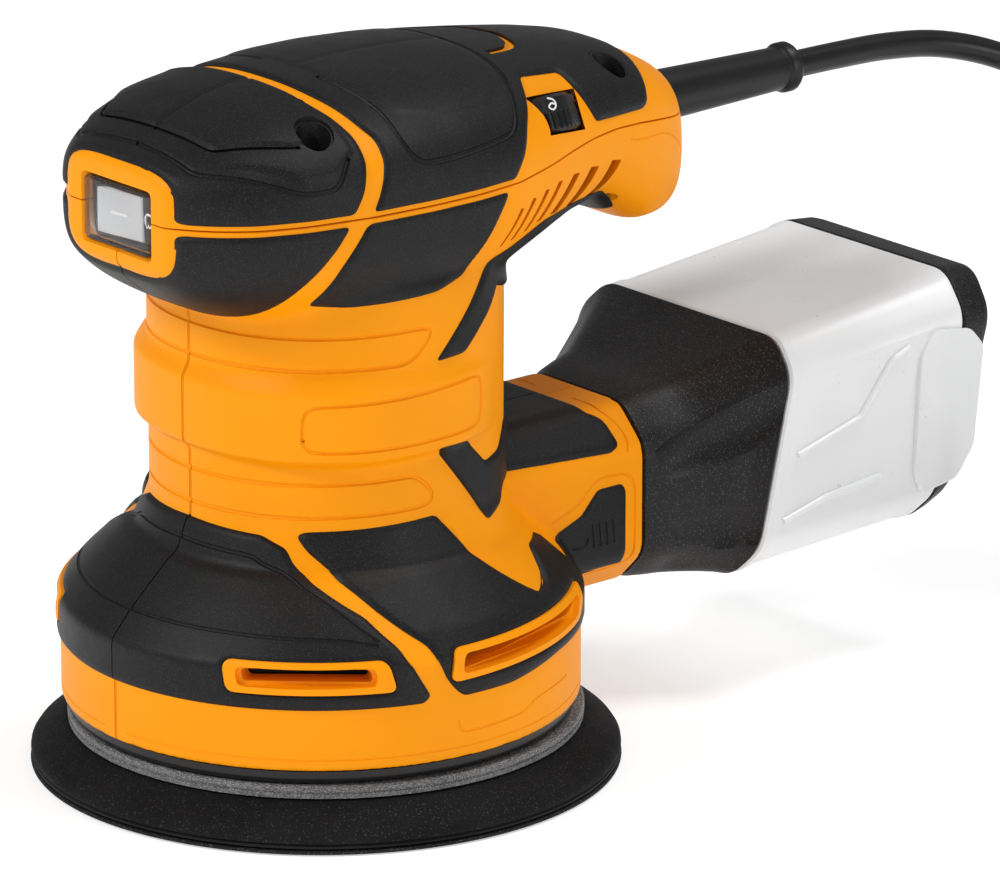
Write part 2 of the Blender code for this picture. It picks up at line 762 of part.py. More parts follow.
    fan_bottom = plate_bottom - 12.0
    fan = turned("fan", ring_profile(FAN_RADIUS, bore, fan_bottom, fan_bottom + 2.0), steps=24)
    blades = [turned("fan_hub", ring_profile(9.0, bore, fan_bottom + 0.5, fan_bottom + 9.0), steps=12)]
    as_cutter(blades[0])
    for i in range(FAN_BLADES):
        low = (15.0, -0.8, fan_bottom + 1.0)
        high = (FAN_RADIUS - 1.0, 0.8, fan_bottom + 8.0)
        blade = box("blade", low, high, True)
        lean = Matrix.Translation((0.0, -6.0 * MM, 0.0)) @ Matrix.Rotation(math.radians(20.0), 4, "Z")
        blade.data.transform(Matrix.Rotation(2 * math.pi * i / FAN_BLADES, 4, "Z") @ lean)
        blades.append(blade)
    combine(fan, blades, "UNION")
    finish_material(fan, (0.08, 0.08, 0.09), 0.5)
    return fan_bottom


def make_drive(fan_bottom):
    """Counterweight with the eccentric bearing pocket, pad bearing, backing plate stud and pad screw."""
    bearing_bottom = SKIRT_BOTTOM + GAP
    bearing_top = bearing_bottom + BEARING_WIDTH + 1.0
    weight_top = fan_bottom - GAP
    weight = cylinder("counterweight", BEARING_RADIUS + 4.5, bearing_bottom, weight_top, steps=32)
    lobe = sector("weight_lobe", (4.0, 26.0), (-160.0, -20.0), (bearing_top + 2.0, weight_top - 1.0), 8)
    combine(weight, [lobe], "UNION")
    pad_axis = (0.0, ORBIT)
    pocket_top = bearing_top + GAP
    pocket = cylinder("bearing_pocket", BEARING_RADIUS + GAP, 0.0, pocket_top, pad_axis, 32, True)
    bore = cylinder("weight_bore", SHAFT_RADIUS + GAP, 20.0, 60.0, steps=20, cutter=True)
    combine(weight, [pocket, bore], "DIFFERENCE")
    finish_material(weight, STEEL, 0.35, 1.0)
    inner = PAD_STUD_RADIUS + GAP
    profile = ring_profile(BEARING_RADIUS, inner, bearing_bottom, bearing_top)
    finish_material(turned("pad_bearing", profile, (0.0, ORBIT), 24), STEEL, 0.2, 1.0)
    stud_top = bearing_top - 0.5
    backing_top = BACKING_BOTTOM + BACKING_THICKNESS
    screw_bore = 2.9
    profile = (
        (PAD_STUD_RADIUS, stud_top),
        (PAD_STUD_RADIUS, SKIRT_BOTTOM),
        (8.0, SKIRT_BOTTOM),
        (8.0, backing_top),
        (SKIRT_RADIUS - 0.2, backing_top),
        (SKIRT_RADIUS - 0.2, BACKING_BOTTOM),
        (screw_bore, BACKING_BOTTOM),
        (screw_bore, stud_top),
    )
    backing = turned("backing_plate", profile, (0.0, ORBIT), 40)
    combine(backing, hole_cutters(), "DIFFERENCE")
    finish_material(backing, (0.3, 0.3, 0.31), 0.45, 0.4)
    head_top = BACKING_BOTTOM - GAP
    profile = (
        (0.0, stud_top),
        (screw_bore - GAP, stud_top),
        (screw_bore - GAP, head_top),
        (6.5, head_top),
        (6.5, head_top - 3.2),
        (0.0, head_top - 3.2),
    )
    finish_material(turned("pad_screw", profile, (0.0, ORBIT), 20), STEEL, 0.3, 1.0)


def hole_cutters():
    cutters = []
    for i in range(HOLE_COUNT):
        angle = 2 * math.pi * (i + 0.5) / HOLE_COUNT
        centre = (HOLE_CIRCLE * math.cos(angle), ORBIT + HOLE_CIRCLE * math.sin(angle))
        cutters.append(cylinder("dust_hole", HOLE_RADIUS, -5.0, 14.0, centre, 8, True))
    return cutters


def make_pad():
    axis = (0.0, ORBIT)
    well = cylinder("screw_well", SCREW_WELL_RADIUS, HOOK_BOTTOM - 0.1, 12.0, axis, 20, True)
    holes = hole_cutters()
    disc = cylinder("abrasive_disc", PAD_RADIUS, 0.0, DISC_THICKNESS, axis, 40)
    hook_top = HOOK_BOTTOM + HOOK_THICKNESS
    hook = cylinder("hook_layer", PAD_RADIUS - 0.3, HOOK_BOTTOM, hook_top, axis, 40)
    foam_top = FOAM_BOTTOM + FOAM_THICKNESS
    top_radius = SKIRT_RADIUS - 0.1
    foam = cylinder("foam_pad", PAD_RADIUS - 0.1, FOAM_BOTTOM, foam_top, axis, 40, top_radius=top_radius)
    combine(disc, holes, "DIFFERENCE")
    combine(hook, [*holes, well], "DIFFERENCE")
    combine(foam, [*holes, well], "DIFFERENCE")
    for obj in (disc, hook, foam):
        finish_material(obj, (0.012, 0.012, 0.012), 0.95)
    top = BRAKE_BOTTOM + BRAKE_THICKNESS
    profile = (
        (SKIRT_RADIUS - 1.3, top),
        (SKIRT_RADIUS - 1.3, BRAKE_BOTTOM + 1.0),
        (SKIRT_RADIUS - 2.0, BRAKE_BOTTOM),
        (SKIRT_RADIUS - 7.0, BRAKE_BOTTOM),
        (SKIRT_RADIUS - 7.0, top),
    )
    finish_material(turned("brake_ring", profile, steps=40), (0.01, 0.01, 0.01), 0.35)


def make_switch():
    half_width = WINDOW_HALF_WIDTH - GAP
    half_height = WINDOW_HALF_HEIGHT - GAP
    front = HEAD_STATIONS[0][0] - 0.2
    body = box(
        "switch_body",
        (-half_width + 0.6, ROCKER_PIVOT_Y + 1.5, WINDOW_HEIGHT - half_height + 0.6),
        (half_width - 0.6, -26.0, WINDOW_HEIGHT + half_height - 0.6),
    )
    finish_material(body, (0.03, 0.03, 0.03), 0.5)
    boot = box(
        "switch_boot",
        (-half_width, front, WINDOW_HEIGHT - half_height),
        (half_width, ROCKER_PIVOT_Y + 1.2, WINDOW_HEIGHT + half_height),
    )
    hollow = box(
        "boot_hollow",
        (0.9 - half_width, front + 0.8, WINDOW_HEIGHT - half_height + 0.9),
        (half_width - 0.9, 0.0, WINDOW_HEIGHT + half_height - 0.9),
        True,
    )
    combine(boot, [hollow], "DIFFERENCE")
    finish_material(boot, (0.8, 0.8, 0.8), 0.15)
    half = half_width - 2.2
    lean = math.tan(math.radians(ROCKER_TILT))
    face = front + 0.8 + 1.1 + half * lean
    outline = [
        (-half, face - half * lean),
        (0.0, face),
        (half, face - half * lean),
        (half, ROCKER_PIVOT_Y),
        (-half, ROCKER_PIVOT_Y),
    ]
    reach = half_height - 1.3
    rocker = prism("switch_rocker", outline, "Z", WINDOW_HEIGHT - reach, WINDOW_HEIGHT + reach, False)
    pivot = Matrix.Translation(Vector((0.0, ROCKER_PIVOT_Y, 0.0)) * MM)
    turn = Matrix.Rotation(math.radians(ROCKER_TILT), 4, "Z")
    rocker.data.transform(turn @ pivot.inverted())
    rocker.location = Vector((0.0, ROCKER_PIVOT_Y, 0.0)) * MM
    finish_material(rocker, (0.02, 0.02, 0.02), 0.3)


def make_dial():
    dial = cylinder("speed_dial", DIAL_RADIUS, -DIAL_THICKNESS / 2, DIAL_THICKNESS / 2, steps=30)
    dial.matrix_world = dial_matrix()
    finish_material(dial, (0.02, 0.02, 0.02), 0.4)
    board_y = DIAL_Y - 6.0
    board = box("speed_board", (-14.0, board_y, 117.5), (14.0, board_y + 22.0, 119.1))
    finish_material(board, (0.02, 0.2, 0.06), 0.5)


def make_screws():
    for x, y, seat, side in screw_places():
        row = "front" if y < 0 else "rear"
        profile = (
            (0.0, seat + 3.0),
            (2.0, seat + 3.0),
            (SCREW_HEAD_RADIUS, seat + 1.8),
            (SCREW_HEAD_RADIUS, seat + GAP),
            (1.8, seat + GAP),
            (1.8, seat - 22.0),
            (0.0, seat - 22.0),
        )
        finish_material(turned("housing_screw_%s_%s" % (row, side), profile, (x, y), 10), STEEL, 0.3, 1.0)


# ---------------------------------------------------------------- dust box


def box_frame(low, high, half, cut, grow=0.0, shift=0.0):
    """A slanted eight-sided section between its lower edge and its upper edge, both (y, z)."""
    bottom, top = low[1] - grow, high[1] + grow
    half = half + grow
    cut = cut + 0.4 * grow
    corners = (
        (half, bottom + cut),
        (half, top - cut),
        (half - cut, top),
        (cut - half, top),
        (-half, top - cut),
        (-half, bottom + cut),
        (cut - half, bottom),
        (half - cut, bottom),
    )
    slope = (high[0] - low[0]) / (high[1] - low[1])
    return [(x, low[0] + shift + slope * (z - low[1]), z) for x, z in corners]


def dust_frames():
    """The dust box's sections from the port to the rear: lower edge, upper edge, half width, chamfer."""
    start = PORT_END + GAP
    low, top = PORT_BOTTOM, PORT_TOP
    half, chamfer = BOX_HALF_WIDTH, BOX_CHAMFER
    return (
        ((start, low), (start, top), PORT_HALF_WIDTH, chamfer),
        ((start + 8.5, low - 0.3), (start + 12.5, top + 2.3), half - 9.0, chamfer + 1.0),
        ((start + 20.5, low - 0.2), (start + 32.5, top + 10.9), half - 0.4, chamfer - 1.0),
        ((start + 71.5, low + 1.5), (start + 82.5, top + 15.8), half, chamfer),
        ((start + 76.1, low + 2.4), (start + 91.9, top + 15.0), half - 0.3, chamfer),
    )


def hollow_loft(name, frames, first, last):
    """A shell through dust box frames, open at an end whose inner frame is carried past it."""
    outer = loft(name, [box_frame(*frame) for frame in frames])
    inner = []
    for i, frame in enumerate(frames):
        shift = first if i == 0 else last if i == len(frames) - 1 else 0.0
        inner.append(box_frame(*frame, grow=-BOX_WALL, shift=shift))
    combine(outer, [loft(name + "_hollow", inner, True)], "DIFFERENCE")
    return outer


def shifted(frame, distance):
    low, high, half, cut = frame
    return ((low[0] + distance, low[1]), (high[0] + distance, high[1]), half, cut)


def make_dust_box():
    frames = dust_frames()
    adapter = hollow_loft("dust_adapter", frames[:3], -1.0, 1.0)
    spigot_end = PORT_END - 18.0
    outside = -WALL - GAP
    inside = outside - BOX_WALL
    tube = loft("spigot", [port_ring(spigot_end, outside), port_ring(PORT_END + 2.0, outside)], True)
    bore_rings = [port_ring(spigot_end - 1.0, inside), port_ring(PORT_END + 6.0, inside)]
    bore = loft("spigot_bore", bore_rings, True)
    mouth = PORT_END + GAP
    flange = loft("spigot_flange", [port_ring(mouth + 0.4, -0.8), port_ring(mouth + 3.0, -0.8)], True)
    combine(adapter, [tube, flange], "UNION")
    combine(adapter, [bore], "DIFFERENCE")
    finish_material(adapter, (0.015, 0.015, 0.015), 0.6)
    canister = hollow_loft("dust_canister", (shifted(frames[2], GAP), frames[3]), -1.0, 1.0)
    finish_material(canister, (0.85, 0.87, 0.88), 0.3)
    cap = hollow_loft("dust_cap", (shifted(frames[3], GAP), frames[4]), -1.0, -BOX_WALL)
    finish_material(cap, (0.015, 0.015, 0.015), 0.6)
    back = frames[3]
    low = (back[0][0] - 18.0, back[0][1] + 8.0)
    high = (back[1][0] - 18.0, back[1][1] - 8.0)
    section = (low, high, BOX_HALF_WIDTH - 8.0, 5.0)
    insert = loft("dust_filter", [box_frame(*section), box_frame(*shifted(section, 12.0))])
    finish_material(insert, (0.75, 0.75, 0.72), 0.9)


# ---------------------------------------------------------------- sleeve, cord, coil and plug


def make_sleeve():
    inner = HEAD_REACH - 26.0
    end = SLEEVE_END
    taper = SLEEVE_RADIUS - 1.0
    profile = (
        (0.0, end),
        (taper - 0.6, end),
        (taper + 0.7, end - 0.8),
        (taper + 0.7, end - 2.6),
        (taper, end - 3.4),
        (SLEEVE_RADIUS, HEAD_REACH - 4.0),
        (SLEEVE_RADIUS, HEAD_REACH - 8.0),
        (4.0, HEAD_REACH - 8.0),
        (4.0, inner),
        (0.0, inner),
    )
    sleeve = turned("cable_sleeve", profile, steps=24, along_y=True, height=SLEEVE_HEIGHT)
    finish_material(sleeve, (0.012, 0.012, 0.012), 0.45)
    low = SLEEVE_HEIGHT + 4.0 + GAP
    clamp = box("cable_clamp", (-9.0, inner + 3.0, low), (9.0, inner + 9.0, low + 2.6))
    finish_material(clamp, (0.1, 0.1, 0.1), 0.5)


# The cord's route from the sleeve to the coil, in millimetres.
CORD_ROUTE = (
    (0.0, 131.3, 127.5),
    (0.1, 146.0, 127.4),
    (0.6, 160.0, 127.0),
    (2.4, 174.0, 125.4),
    (6.8, 187.0, 121.5),
    (14.0, 199.0, 114.6),
    (23.5, 209.5, 104.6),
    (33.5, 217.5, 91.5),
    (43.0, 222.5, 76.5),
    (51.0, 225.5, 60.5),
    (58.0, 227.0, 45.0),
    (64.5, 227.2, 31.0),
    (70.5, 226.2, 19.5),
    (76.2, 224.4, 10.5),
    (82.0, 222.5, 5.2),
    (87.7, 220.8, 3.2),
)


def smooth_route(points, spacing):
    """Points at an even spacing on a Catmull-Rom curve through a route."""
    knots = [Vector(p) for p in points]
    knots = [2 * knots[0] - knots[1], *knots, 2 * knots[-1] - knots[-2]]
    fine = []
    for a, b, c, d in zip(knots, knots[1:], knots[2:], knots[3:]):
        for i in range(20):
            t = i / 20
            bend = (2 * a - 5 * b + 4 * c - d) * t**2 + (3 * b - a - 3 * c + d) * t**3
            fine.append(0.5 * (2 * b + (c - a) * t + bend))
    fine.append(knots[-2])
    kept = [fine[0]]
    walked = 0.0
    for last, point in zip(fine, fine[1:]):
        walked += (point - last).length
        if walked >= spacing:
            kept.append(point)
            walked = 0.0
    kept[-1] = fine[-1]
    return kept


def make_cord():
    points = smooth_route(CORD_ROUTE, 2.2 * CORD_DIAMETER)
    curve = DOCUMENT.curves.new("power_cord", "CURVE")
    curve.dimensions = "3D"
    curve.bevel_depth = CORD_DIAMETER / 2 * MM
    curve.bevel_resolution = 2
    curve.use_fill_caps = True
    spline = curve.splines.new("POLY")
    spline.points.add(len(points) - 1)
    for slot, point in zip(spline.points, points):
        slot.co = (*(point * MM), 1.0)
    cord = add("power_cord", curve)
    material = DOCUMENT.materials.new("power_cord")
    material.use_nodes = True
    curve.materials.append(material)
    material.node_tree.nodes["Principled BSDF"].inputs["Base Color"].default_value = (0.01, 0.01, 0.01, 1.0)
    return cord


def coil_radii():
    inner = COIL_INNER_TURN - CORD_DIAMETER / 2
    return inner, inner + COIL_TURNS_ACROSS * CORD_DIAMETER


def make_coil():
    inner, outer = coil_radii()
    profile = ring_profile(outer, inner, 0.0, 2 * CORD_DIAMETER)
    finish_material(turned("cord_coil", profile, COIL_CENTRE, 36), (0.01, 0.01, 0.01), 0.5)


def make_plug():
    """A two-pin plug on the floor, where the coil's last turn runs out along -Y."""
    _inner, outer = coil_radii()
    lead = outer - CORD_DIAMETER / 2
    start = math.sqrt((outer + CORD_DIAMETER / 2 + GAP) ** 2 - lead**2)
    height = 1.5 * CORD_DIAMETER
    x = COIL_CENTRE[0] + lead
    y = COIL_CENTRE[1] - start - 1.5
    stations = (
        (0.0, 3.4, 3.4),
        (10.0, 4.0, 4.0),
        (13.0, 7.5, 6.5),
        (22.0, 12.5, 8.8),
        (44.0, 13.0, 8.8),
        (47.0, 11.5, 7.5),
    )
    rings = []
    for reach, half, tall in stations:
        ring = []
        for i in range(16):
            c, s = rounded(2 * math.pi * i / 16, 3.0 if reach > 12 else 2.0)
            ring.append((x + half * c, y - reach, height + tall * s))
        rings.append(ring)
    plug = loft("plug", rings)
    pins = []
    for side in (-1, 1):
        pin = cylinder("pin", 2.4, 0.0, 20.0, steps=12, cutter=True)
        place = Matrix.Translation(Vector((x + side * 9.0, y - 46.0, height)) * MM)
        pin.data.transform(place @ Matrix.Rotation(math.pi / 2, 4, "X"))
        pins.append(pin)
    combine(plug, pins, "UNION")
    finish_material(plug, (0.015, 0.015, 0.015), 0.4)


def main():
    clear_scene()
    make_shells()
    make_grips()
    make_drive(make_motor())
    make_pad()
    make_switch()
    make_dial()
    make_screws()
    make_dust_box()
    make_sleeve()
    make_cord()
    make_coil()
    make_plug()


main()
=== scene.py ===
"""Looks of the random orbital sander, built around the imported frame.

Lengths are in millimetres until a mesh is made, where MM turns them into metres.
"""

import math

import bmesh
import bpy
import numpy as np
from mathutils import Matrix, Vector
from mathutils.bvhtree import BVHTree
from mathutils.geometry import tessellate_polygon


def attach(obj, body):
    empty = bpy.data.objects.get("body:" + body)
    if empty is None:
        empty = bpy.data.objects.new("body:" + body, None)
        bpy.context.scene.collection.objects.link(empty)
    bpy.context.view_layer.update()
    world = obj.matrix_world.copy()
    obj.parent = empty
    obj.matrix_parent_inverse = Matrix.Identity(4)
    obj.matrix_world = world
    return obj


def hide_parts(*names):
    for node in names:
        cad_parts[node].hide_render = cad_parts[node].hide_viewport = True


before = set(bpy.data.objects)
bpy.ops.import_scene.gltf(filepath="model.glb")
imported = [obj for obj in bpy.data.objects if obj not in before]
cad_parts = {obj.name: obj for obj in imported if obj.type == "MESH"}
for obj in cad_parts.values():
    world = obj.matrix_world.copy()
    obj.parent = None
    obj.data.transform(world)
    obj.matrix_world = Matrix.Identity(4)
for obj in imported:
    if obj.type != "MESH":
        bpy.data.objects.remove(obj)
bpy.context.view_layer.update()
MM = 0.001
VOXEL = 0.7
SKIN = 0.75
SIDES = (("right", 1), ("left", -1))


# ---------------------------------------------------------------- mesh helpers


def link(name, mesh):
    obj = bpy.data.objects.new(name, mesh)
    bpy.context.scene.collection.objects.link(obj)
    return obj


def mesh_object(name, points, faces):
    """An object from points in millimetres, with its faces turned outwards."""
    mesh = bpy.data.meshes.new(name)
    mesh.from_pydata([tuple(p) for p in np.asarray(points, float) * MM], [], [tuple(f) for f in faces])
    bm = bmesh.new()
    bm.from_mesh(mesh)
    bmesh.ops.recalc_face_normals(bm, faces=bm.faces)
    bm.to_mesh(mesh)
    bm.free()
    return link(name, mesh)


def loft(name, rings, closed=False):
    """A closed solid through rings of equal length, or a closed ring of rings."""
    rings = np.asarray(rings, float)
    rows, count = rings.shape[:2]
    faces = []
    for row in range(rows if closed else rows - 1):
        low, high = row * count, (row + 1) % rows * count
        for i in range(count):
            j = (i + 1) % count
            faces.append((low + i, low + j, high + j, high + i))
    if not closed:
        faces.append(range(count))
        faces.append(range((rows - 1) * count, rows * count))
    return mesh_object(name, rings.reshape(-1, 3), faces)


def block(name, outline, inner, outer):
    """A solid over a flat outline: inner and outer turn its points into the two caps."""
    count = len(outline)
    fill = tessellate_polygon([[Vector((a, b, 0.0)) for a, b in outline]])
    points = [inner(a, b) for a, b in outline] + [outer(a, b) for a, b in outline]
    faces = [tuple(f) for f in fill] + [tuple(i + count for i in f) for f in fill]
    for i in range(count):
        j = (i + 1) % count
        faces.append((i, j, j + count, i + count))
    return mesh_object(name, points, faces)


def across(name, outline, low, high):
    """A block over an outline of (y, z) points, between two places along X."""
    return block(name, outline, lambda y, z: (low, y, z), lambda y, z: (high, y, z))


def subdivided(outline, spacing):
    """A closed outline with its long sides split, keeping its corners."""
    found = []
    for a, b in zip(outline, list(outline[1:]) + [outline[0]]):
        count = max(1, int(math.dist(a, b) / spacing))
        found += [
            (a[0] + (b[0] - a[0]) * i / count, a[1] + (b[1] - a[1]) * i / count)
            for i in range(count)
        ]
    return found


def around(name, outline, low, high, flip=1):
    """A block over an outline of (degrees about the spindle, z) points, between two radii."""
    outline = subdivided(outline, 0.35)

    def at(radius):
        def point(angle, z):
            a = math.radians(angle)
            return (flip * radius * math.cos(a), radius * math.sin(a), z)

        return point

    return block(name, outline, at(low), at(high))


def bake(obj):
    """Replaces an object's mesh by its evaluated one."""
    depsgraph = bpy.context.evaluated_depsgraph_get()
    mesh = bpy.data.meshes.new_from_object(obj.evaluated_get(depsgraph), depsgraph=depsgraph)
    obj.modifiers.clear()
    obj.data = mesh
    return obj


def cut(obj, others, operation="DIFFERENCE"):
    """Applies one Boolean for each other object, which is then deleted."""
    for other in others:
        modifier = obj.modifiers.new("cut", "BOOLEAN")
        modifier.operation = operation
        modifier.solver = "MANIFOLD"
        modifier.object = other
        bake(obj)
        bpy.data.objects.remove(other, do_unlink=True)
    return obj


def copy_of(obj, name):
    return link(name, obj.data.copy())


def mirrored(obj, name):
    other = copy_of(obj, name)
    other.data.transform(Matrix.Diagonal((-1.0, 1.0, 1.0, 1.0)))
    other.data.flip_normals()
    return other


def eased(obj, chosen, iterations):
    """Smooths the chosen vertices only."""
    group = obj.vertex_groups.new(name="eased")
    group.add([int(i) for i in np.flatnonzero(chosen)], 1.0, "REPLACE")
    smooth = obj.modifiers.new("ease", "SMOOTH")
    smooth.factor = 0.5
    smooth.iterations = iterations
    smooth.vertex_group = group.name
    bake(obj)
    obj.vertex_groups.clear()
    return obj


def remeshed(obj, voxel, smoothing):
    modifier = obj.modifiers.new("remesh", "REMESH")
    modifier.mode = "VOXEL"
    modifier.voxel_size = voxel * MM
    smooth = obj.modifiers.new("smooth", "SMOOTH")
    smooth.factor = 0.5
    smooth.iterations = smoothing
    return bake(obj)


def points_of(obj):
    co = np.zeros(len(obj.data.vertices) * 3)
    obj.data.vertices.foreach_get("co", co)
    return co.reshape(-1, 3) / MM


def set_points(obj, points):
    obj.data.vertices.foreach_set("co", (np.asarray(points) * MM).ravel())
    obj.data.update()


def grown(obj, name, distance):
    """A copy moved along its own normals."""
    other = copy_of(obj, name)
    normals = np.zeros(len(other.data.vertices) * 3)
    other.data.vertices.foreach_get("normal", normals)
    set_points(other, points_of(other) + normals.reshape(-1, 3) * distance)
    return other


def sweep(name, path, radius, sides=8):
    """A tube along a path, with one radius or one for each point."""
    path = np.asarray(path, float)
    radius = np.broadcast_to(radius, len(path))
    ahead = np.gradient(path, axis=0)
    ahead /= np.linalg.norm(ahead, axis=1)[:, None]
    side = np.cross(ahead[0], (0.0, 0.0, 1.0) if abs(ahead[0][2]) < 0.9 else (0.0, 1.0, 0.0))
    angles = np.arange(sides) * 2 * math.pi / sides
    rings = []
    for point, way, reach in zip(path, ahead, radius):
        side = side - way * np.dot(side, way)
        side /= np.linalg.norm(side)
        up = np.cross(side, way)
        rings.append(point + reach * (np.cos(angles)[:, None] * side + np.sin(angles)[:, None] * up))
    return loft(name, rings)


def circle(radius, z, steps, x=0.0, y=0.0):
    """A level ring of points; the radius may be an array with one value for each point."""
    angles = np.arange(steps) * 2 * math.pi / steps
    return np.column_stack((x + radius * np.cos(angles), y + radius * np.sin(angles), np.full(steps, z)))


def turned(name, profile, steps=64, ring=False, matrix=None):
    """A profile of (radius, height) turned about an upright axis: capped at both ends, or a closed ring."""
    obj = loft(name, [circle(r, z, steps) for r, z in profile], ring)
    if matrix:
        obj.data.transform(matrix)
    return obj


def moved(x, y, z):
    return Matrix.Translation(Vector((x, y, z)) * MM)


ALONG_Y = Matrix.Rotation(-math.pi / 2, 4, "X")


def rounded_profile(points, radius, steps=4):
    """A closed outline with its corners rounded by a radius, kept under half of each side."""
    points = [np.array(p, float) for p in points]
    found = []
    for before, here, after in zip(points[-1:] + points[:-1], points, points[1:] + points[:1]):
        back, on = before - here, after - here
        reach = min(radius, 0.45 * np.linalg.norm(back), 0.45 * np.linalg.norm(on))
        start = here + back / max(np.linalg.norm(back), 1e-9) * reach
        end = here + on / max(np.linalg.norm(on), 1e-9) * reach
        for i in range(steps + 1):
            t = i / steps
            found.append(start * (1 - t) ** 2 + 2 * here * t * (1 - t) + end * t * t)
    return [tuple(p) for p in found]


def resampled(points, spacing):
    """A path's points at an even spacing."""
    points = np.asarray(points, float)
    walked = np.concatenate(([0.0], np.cumsum(np.linalg.norm(np.diff(points, axis=0), axis=1))))
    count = max(2, int(walked[-1] / spacing))
    places = np.linspace(0.0, walked[-1], count + 1)
    return np.column_stack([np.interp(places, walked, points[:, k]) for k in range(points.shape[1])])


def catmull(points, per_span):
    """Points on a Catmull-Rom curve through the given ones."""
    first, last = np.array(points[0], float), np.array(points[-1], float)
    knots = np.array([2 * first - points[1], *points, 2 * last - points[-2]])
    found = []
    for a, b, c, d in zip(knots, knots[1:], knots[2:], knots[3:]):
        for t in np.arange(per_span) / per_span:
            bend = (2 * a - 5 * b + 4 * c - d) * t**2 + (3 * b - a - 3 * c + d) * t**3
            found.append(0.5 * (2 * b + (c - a) * t + bend))
    found.append(last)
    return np.array(found)


def edge_distance(points, outline):
    """Distance of each 2-D point from a closed outline."""
    outline = np.asarray(outline, float)
    best = np.full(len(points), 1e9)
    for a, b in zip(outline, np.roll(outline, -1, axis=0)):
        way = b - a
        t = np.clip(((points - a) @ way) / max(way @ way, 1e-9), 0, 1)
        best = np.minimum(best, np.hypot(*(points - a - t[:, None] * way).T))
    return best


def finish(obj, material, body, *replaced, slot=None, angle=38.0):
    """Smooth shading with sharp creases, a material, a body to ride on and the CAD nodes it stands for."""
    obj.data.materials.clear()
    obj.data.materials.append(material)
    obj.data.shade_smooth()
    obj.data.set_sharp_from_angle(angle=math.radians(angle))
    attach(obj, body)
    if replaced:
        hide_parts(*replaced)
    return obj


# ---------------------------------------------------------------- materials


def material(
    name,
    colour,
    roughness,
    grain=0.0,
    grain_size=0.4,
    mottle=0.04,
    metallic=0.0,
    specks=None,
    speck_share=0.3,
    sheen=0.0,
    transmission=0.0,
    streak=None,
    specular=0.5,
    glow=0.0,
    ior=1.45,
):
    """Moulded or turned stock: mottled colour, uneven gloss, fine grain, and specks or streaks if wanted."""
    made = bpy.data.materials.new(name)
    made.use_nodes = True
    made.diffuse_color = (*colour, 1.0)
    nodes, links = made.node_tree.nodes, made.node_tree.links
    shader = nodes["Principled BSDF"]
    shader.inputs["Metallic"].default_value = metallic
    shader.inputs["Sheen Weight"].default_value = sheen
    shader.inputs["Transmission Weight"].default_value = transmission
    shader.inputs["IOR"].default_value = ior
    shader.inputs["Specular IOR Level"].default_value = specular
    # glow gives a white emission: on the dust canister it is painted light, on the floor it keeps the floor
    # evenly bright.
    shader.inputs["Emission Color"].default_value = (1.0, 1.0, 1.0, 1.0)
    shader.inputs["Emission Strength"].default_value = glow
    place = nodes.new("ShaderNodeTexCoord").outputs["Object"]
    if streak:
        stretch = nodes.new("ShaderNodeMapping")
        stretch.inputs["Scale"].default_value = streak
        links.new(place, stretch.inputs["Vector"])
        place = stretch.outputs["Vector"]

    def noise(size, detail, rough=0.5):
        node = nodes.new("ShaderNodeTexNoise")
        node.inputs["Scale"].default_value = 1.0 / (size * MM)
        node.inputs["Detail"].default_value = detail
        node.inputs["Roughness"].default_value = rough
        links.new(place, node.inputs["Vector"])
        return node.outputs["Fac"]

    def ramp(value, stops):
        node = nodes.new("ShaderNodeValToRGB")
        node.color_ramp.elements[0].position = stops[0][0]
        node.color_ramp.elements[0].color = (*stops[0][1], 1.0)
        node.color_ramp.elements[1].position = stops[1][0]
        node.color_ramp.elements[1].color = (*stops[1][1], 1.0)
        links.new(value, node.inputs["Fac"])
        return node.outputs["Color"]

    darker = tuple(c * (1 - 2 * mottle) for c in colour)
    lighter = tuple(min(1.0, c * (1 + 2 * mottle)) for c in colour)
    tint = ramp(noise(18.0, 3.0), ((0.3, darker), (0.7, lighter)))
    if specks:
        mask = ramp(
            noise(grain_size, 1.0, 0.3),
            ((1 - speck_share - 0.06, (0, 0, 0)), (1 - speck_share + 0.02, (1, 1, 1))),
        )
        mix = nodes.new("ShaderNodeMix")
        mix.data_type = "RGBA"
        links.new(mask, mix.inputs["Factor"])
        links.new(tint, mix.inputs["A"])
        mix.inputs["B"].default_value = (*specks, 1.0)
        tint = mix.outputs["Result"]
    links.new(tint, shader.inputs["Base Color"])
    gloss = nodes.new("ShaderNodeMapRange")
    gloss.inputs["To Min"].default_value = max(0.02, roughness - 0.07)
    gloss.inputs["To Max"].default_value = min(1.0, roughness + 0.07)
    links.new(noise(6.0, 4.0), gloss.inputs["Value"])
    links.new(gloss.outputs["Result"], shader.inputs["Roughness"])
    if grain:
        bump = nodes.new("ShaderNodeBump")
        bump.inputs["Strength"].default_value = grain
        bump.inputs["Distance"].default_value = 0.3 * grain_size * MM
        links.new(noise(grain_size, 2.0, 0.6), bump.inputs["Height"])
        links.new(bump.outputs["Normal"], shader.inputs["Normal"])
    return made


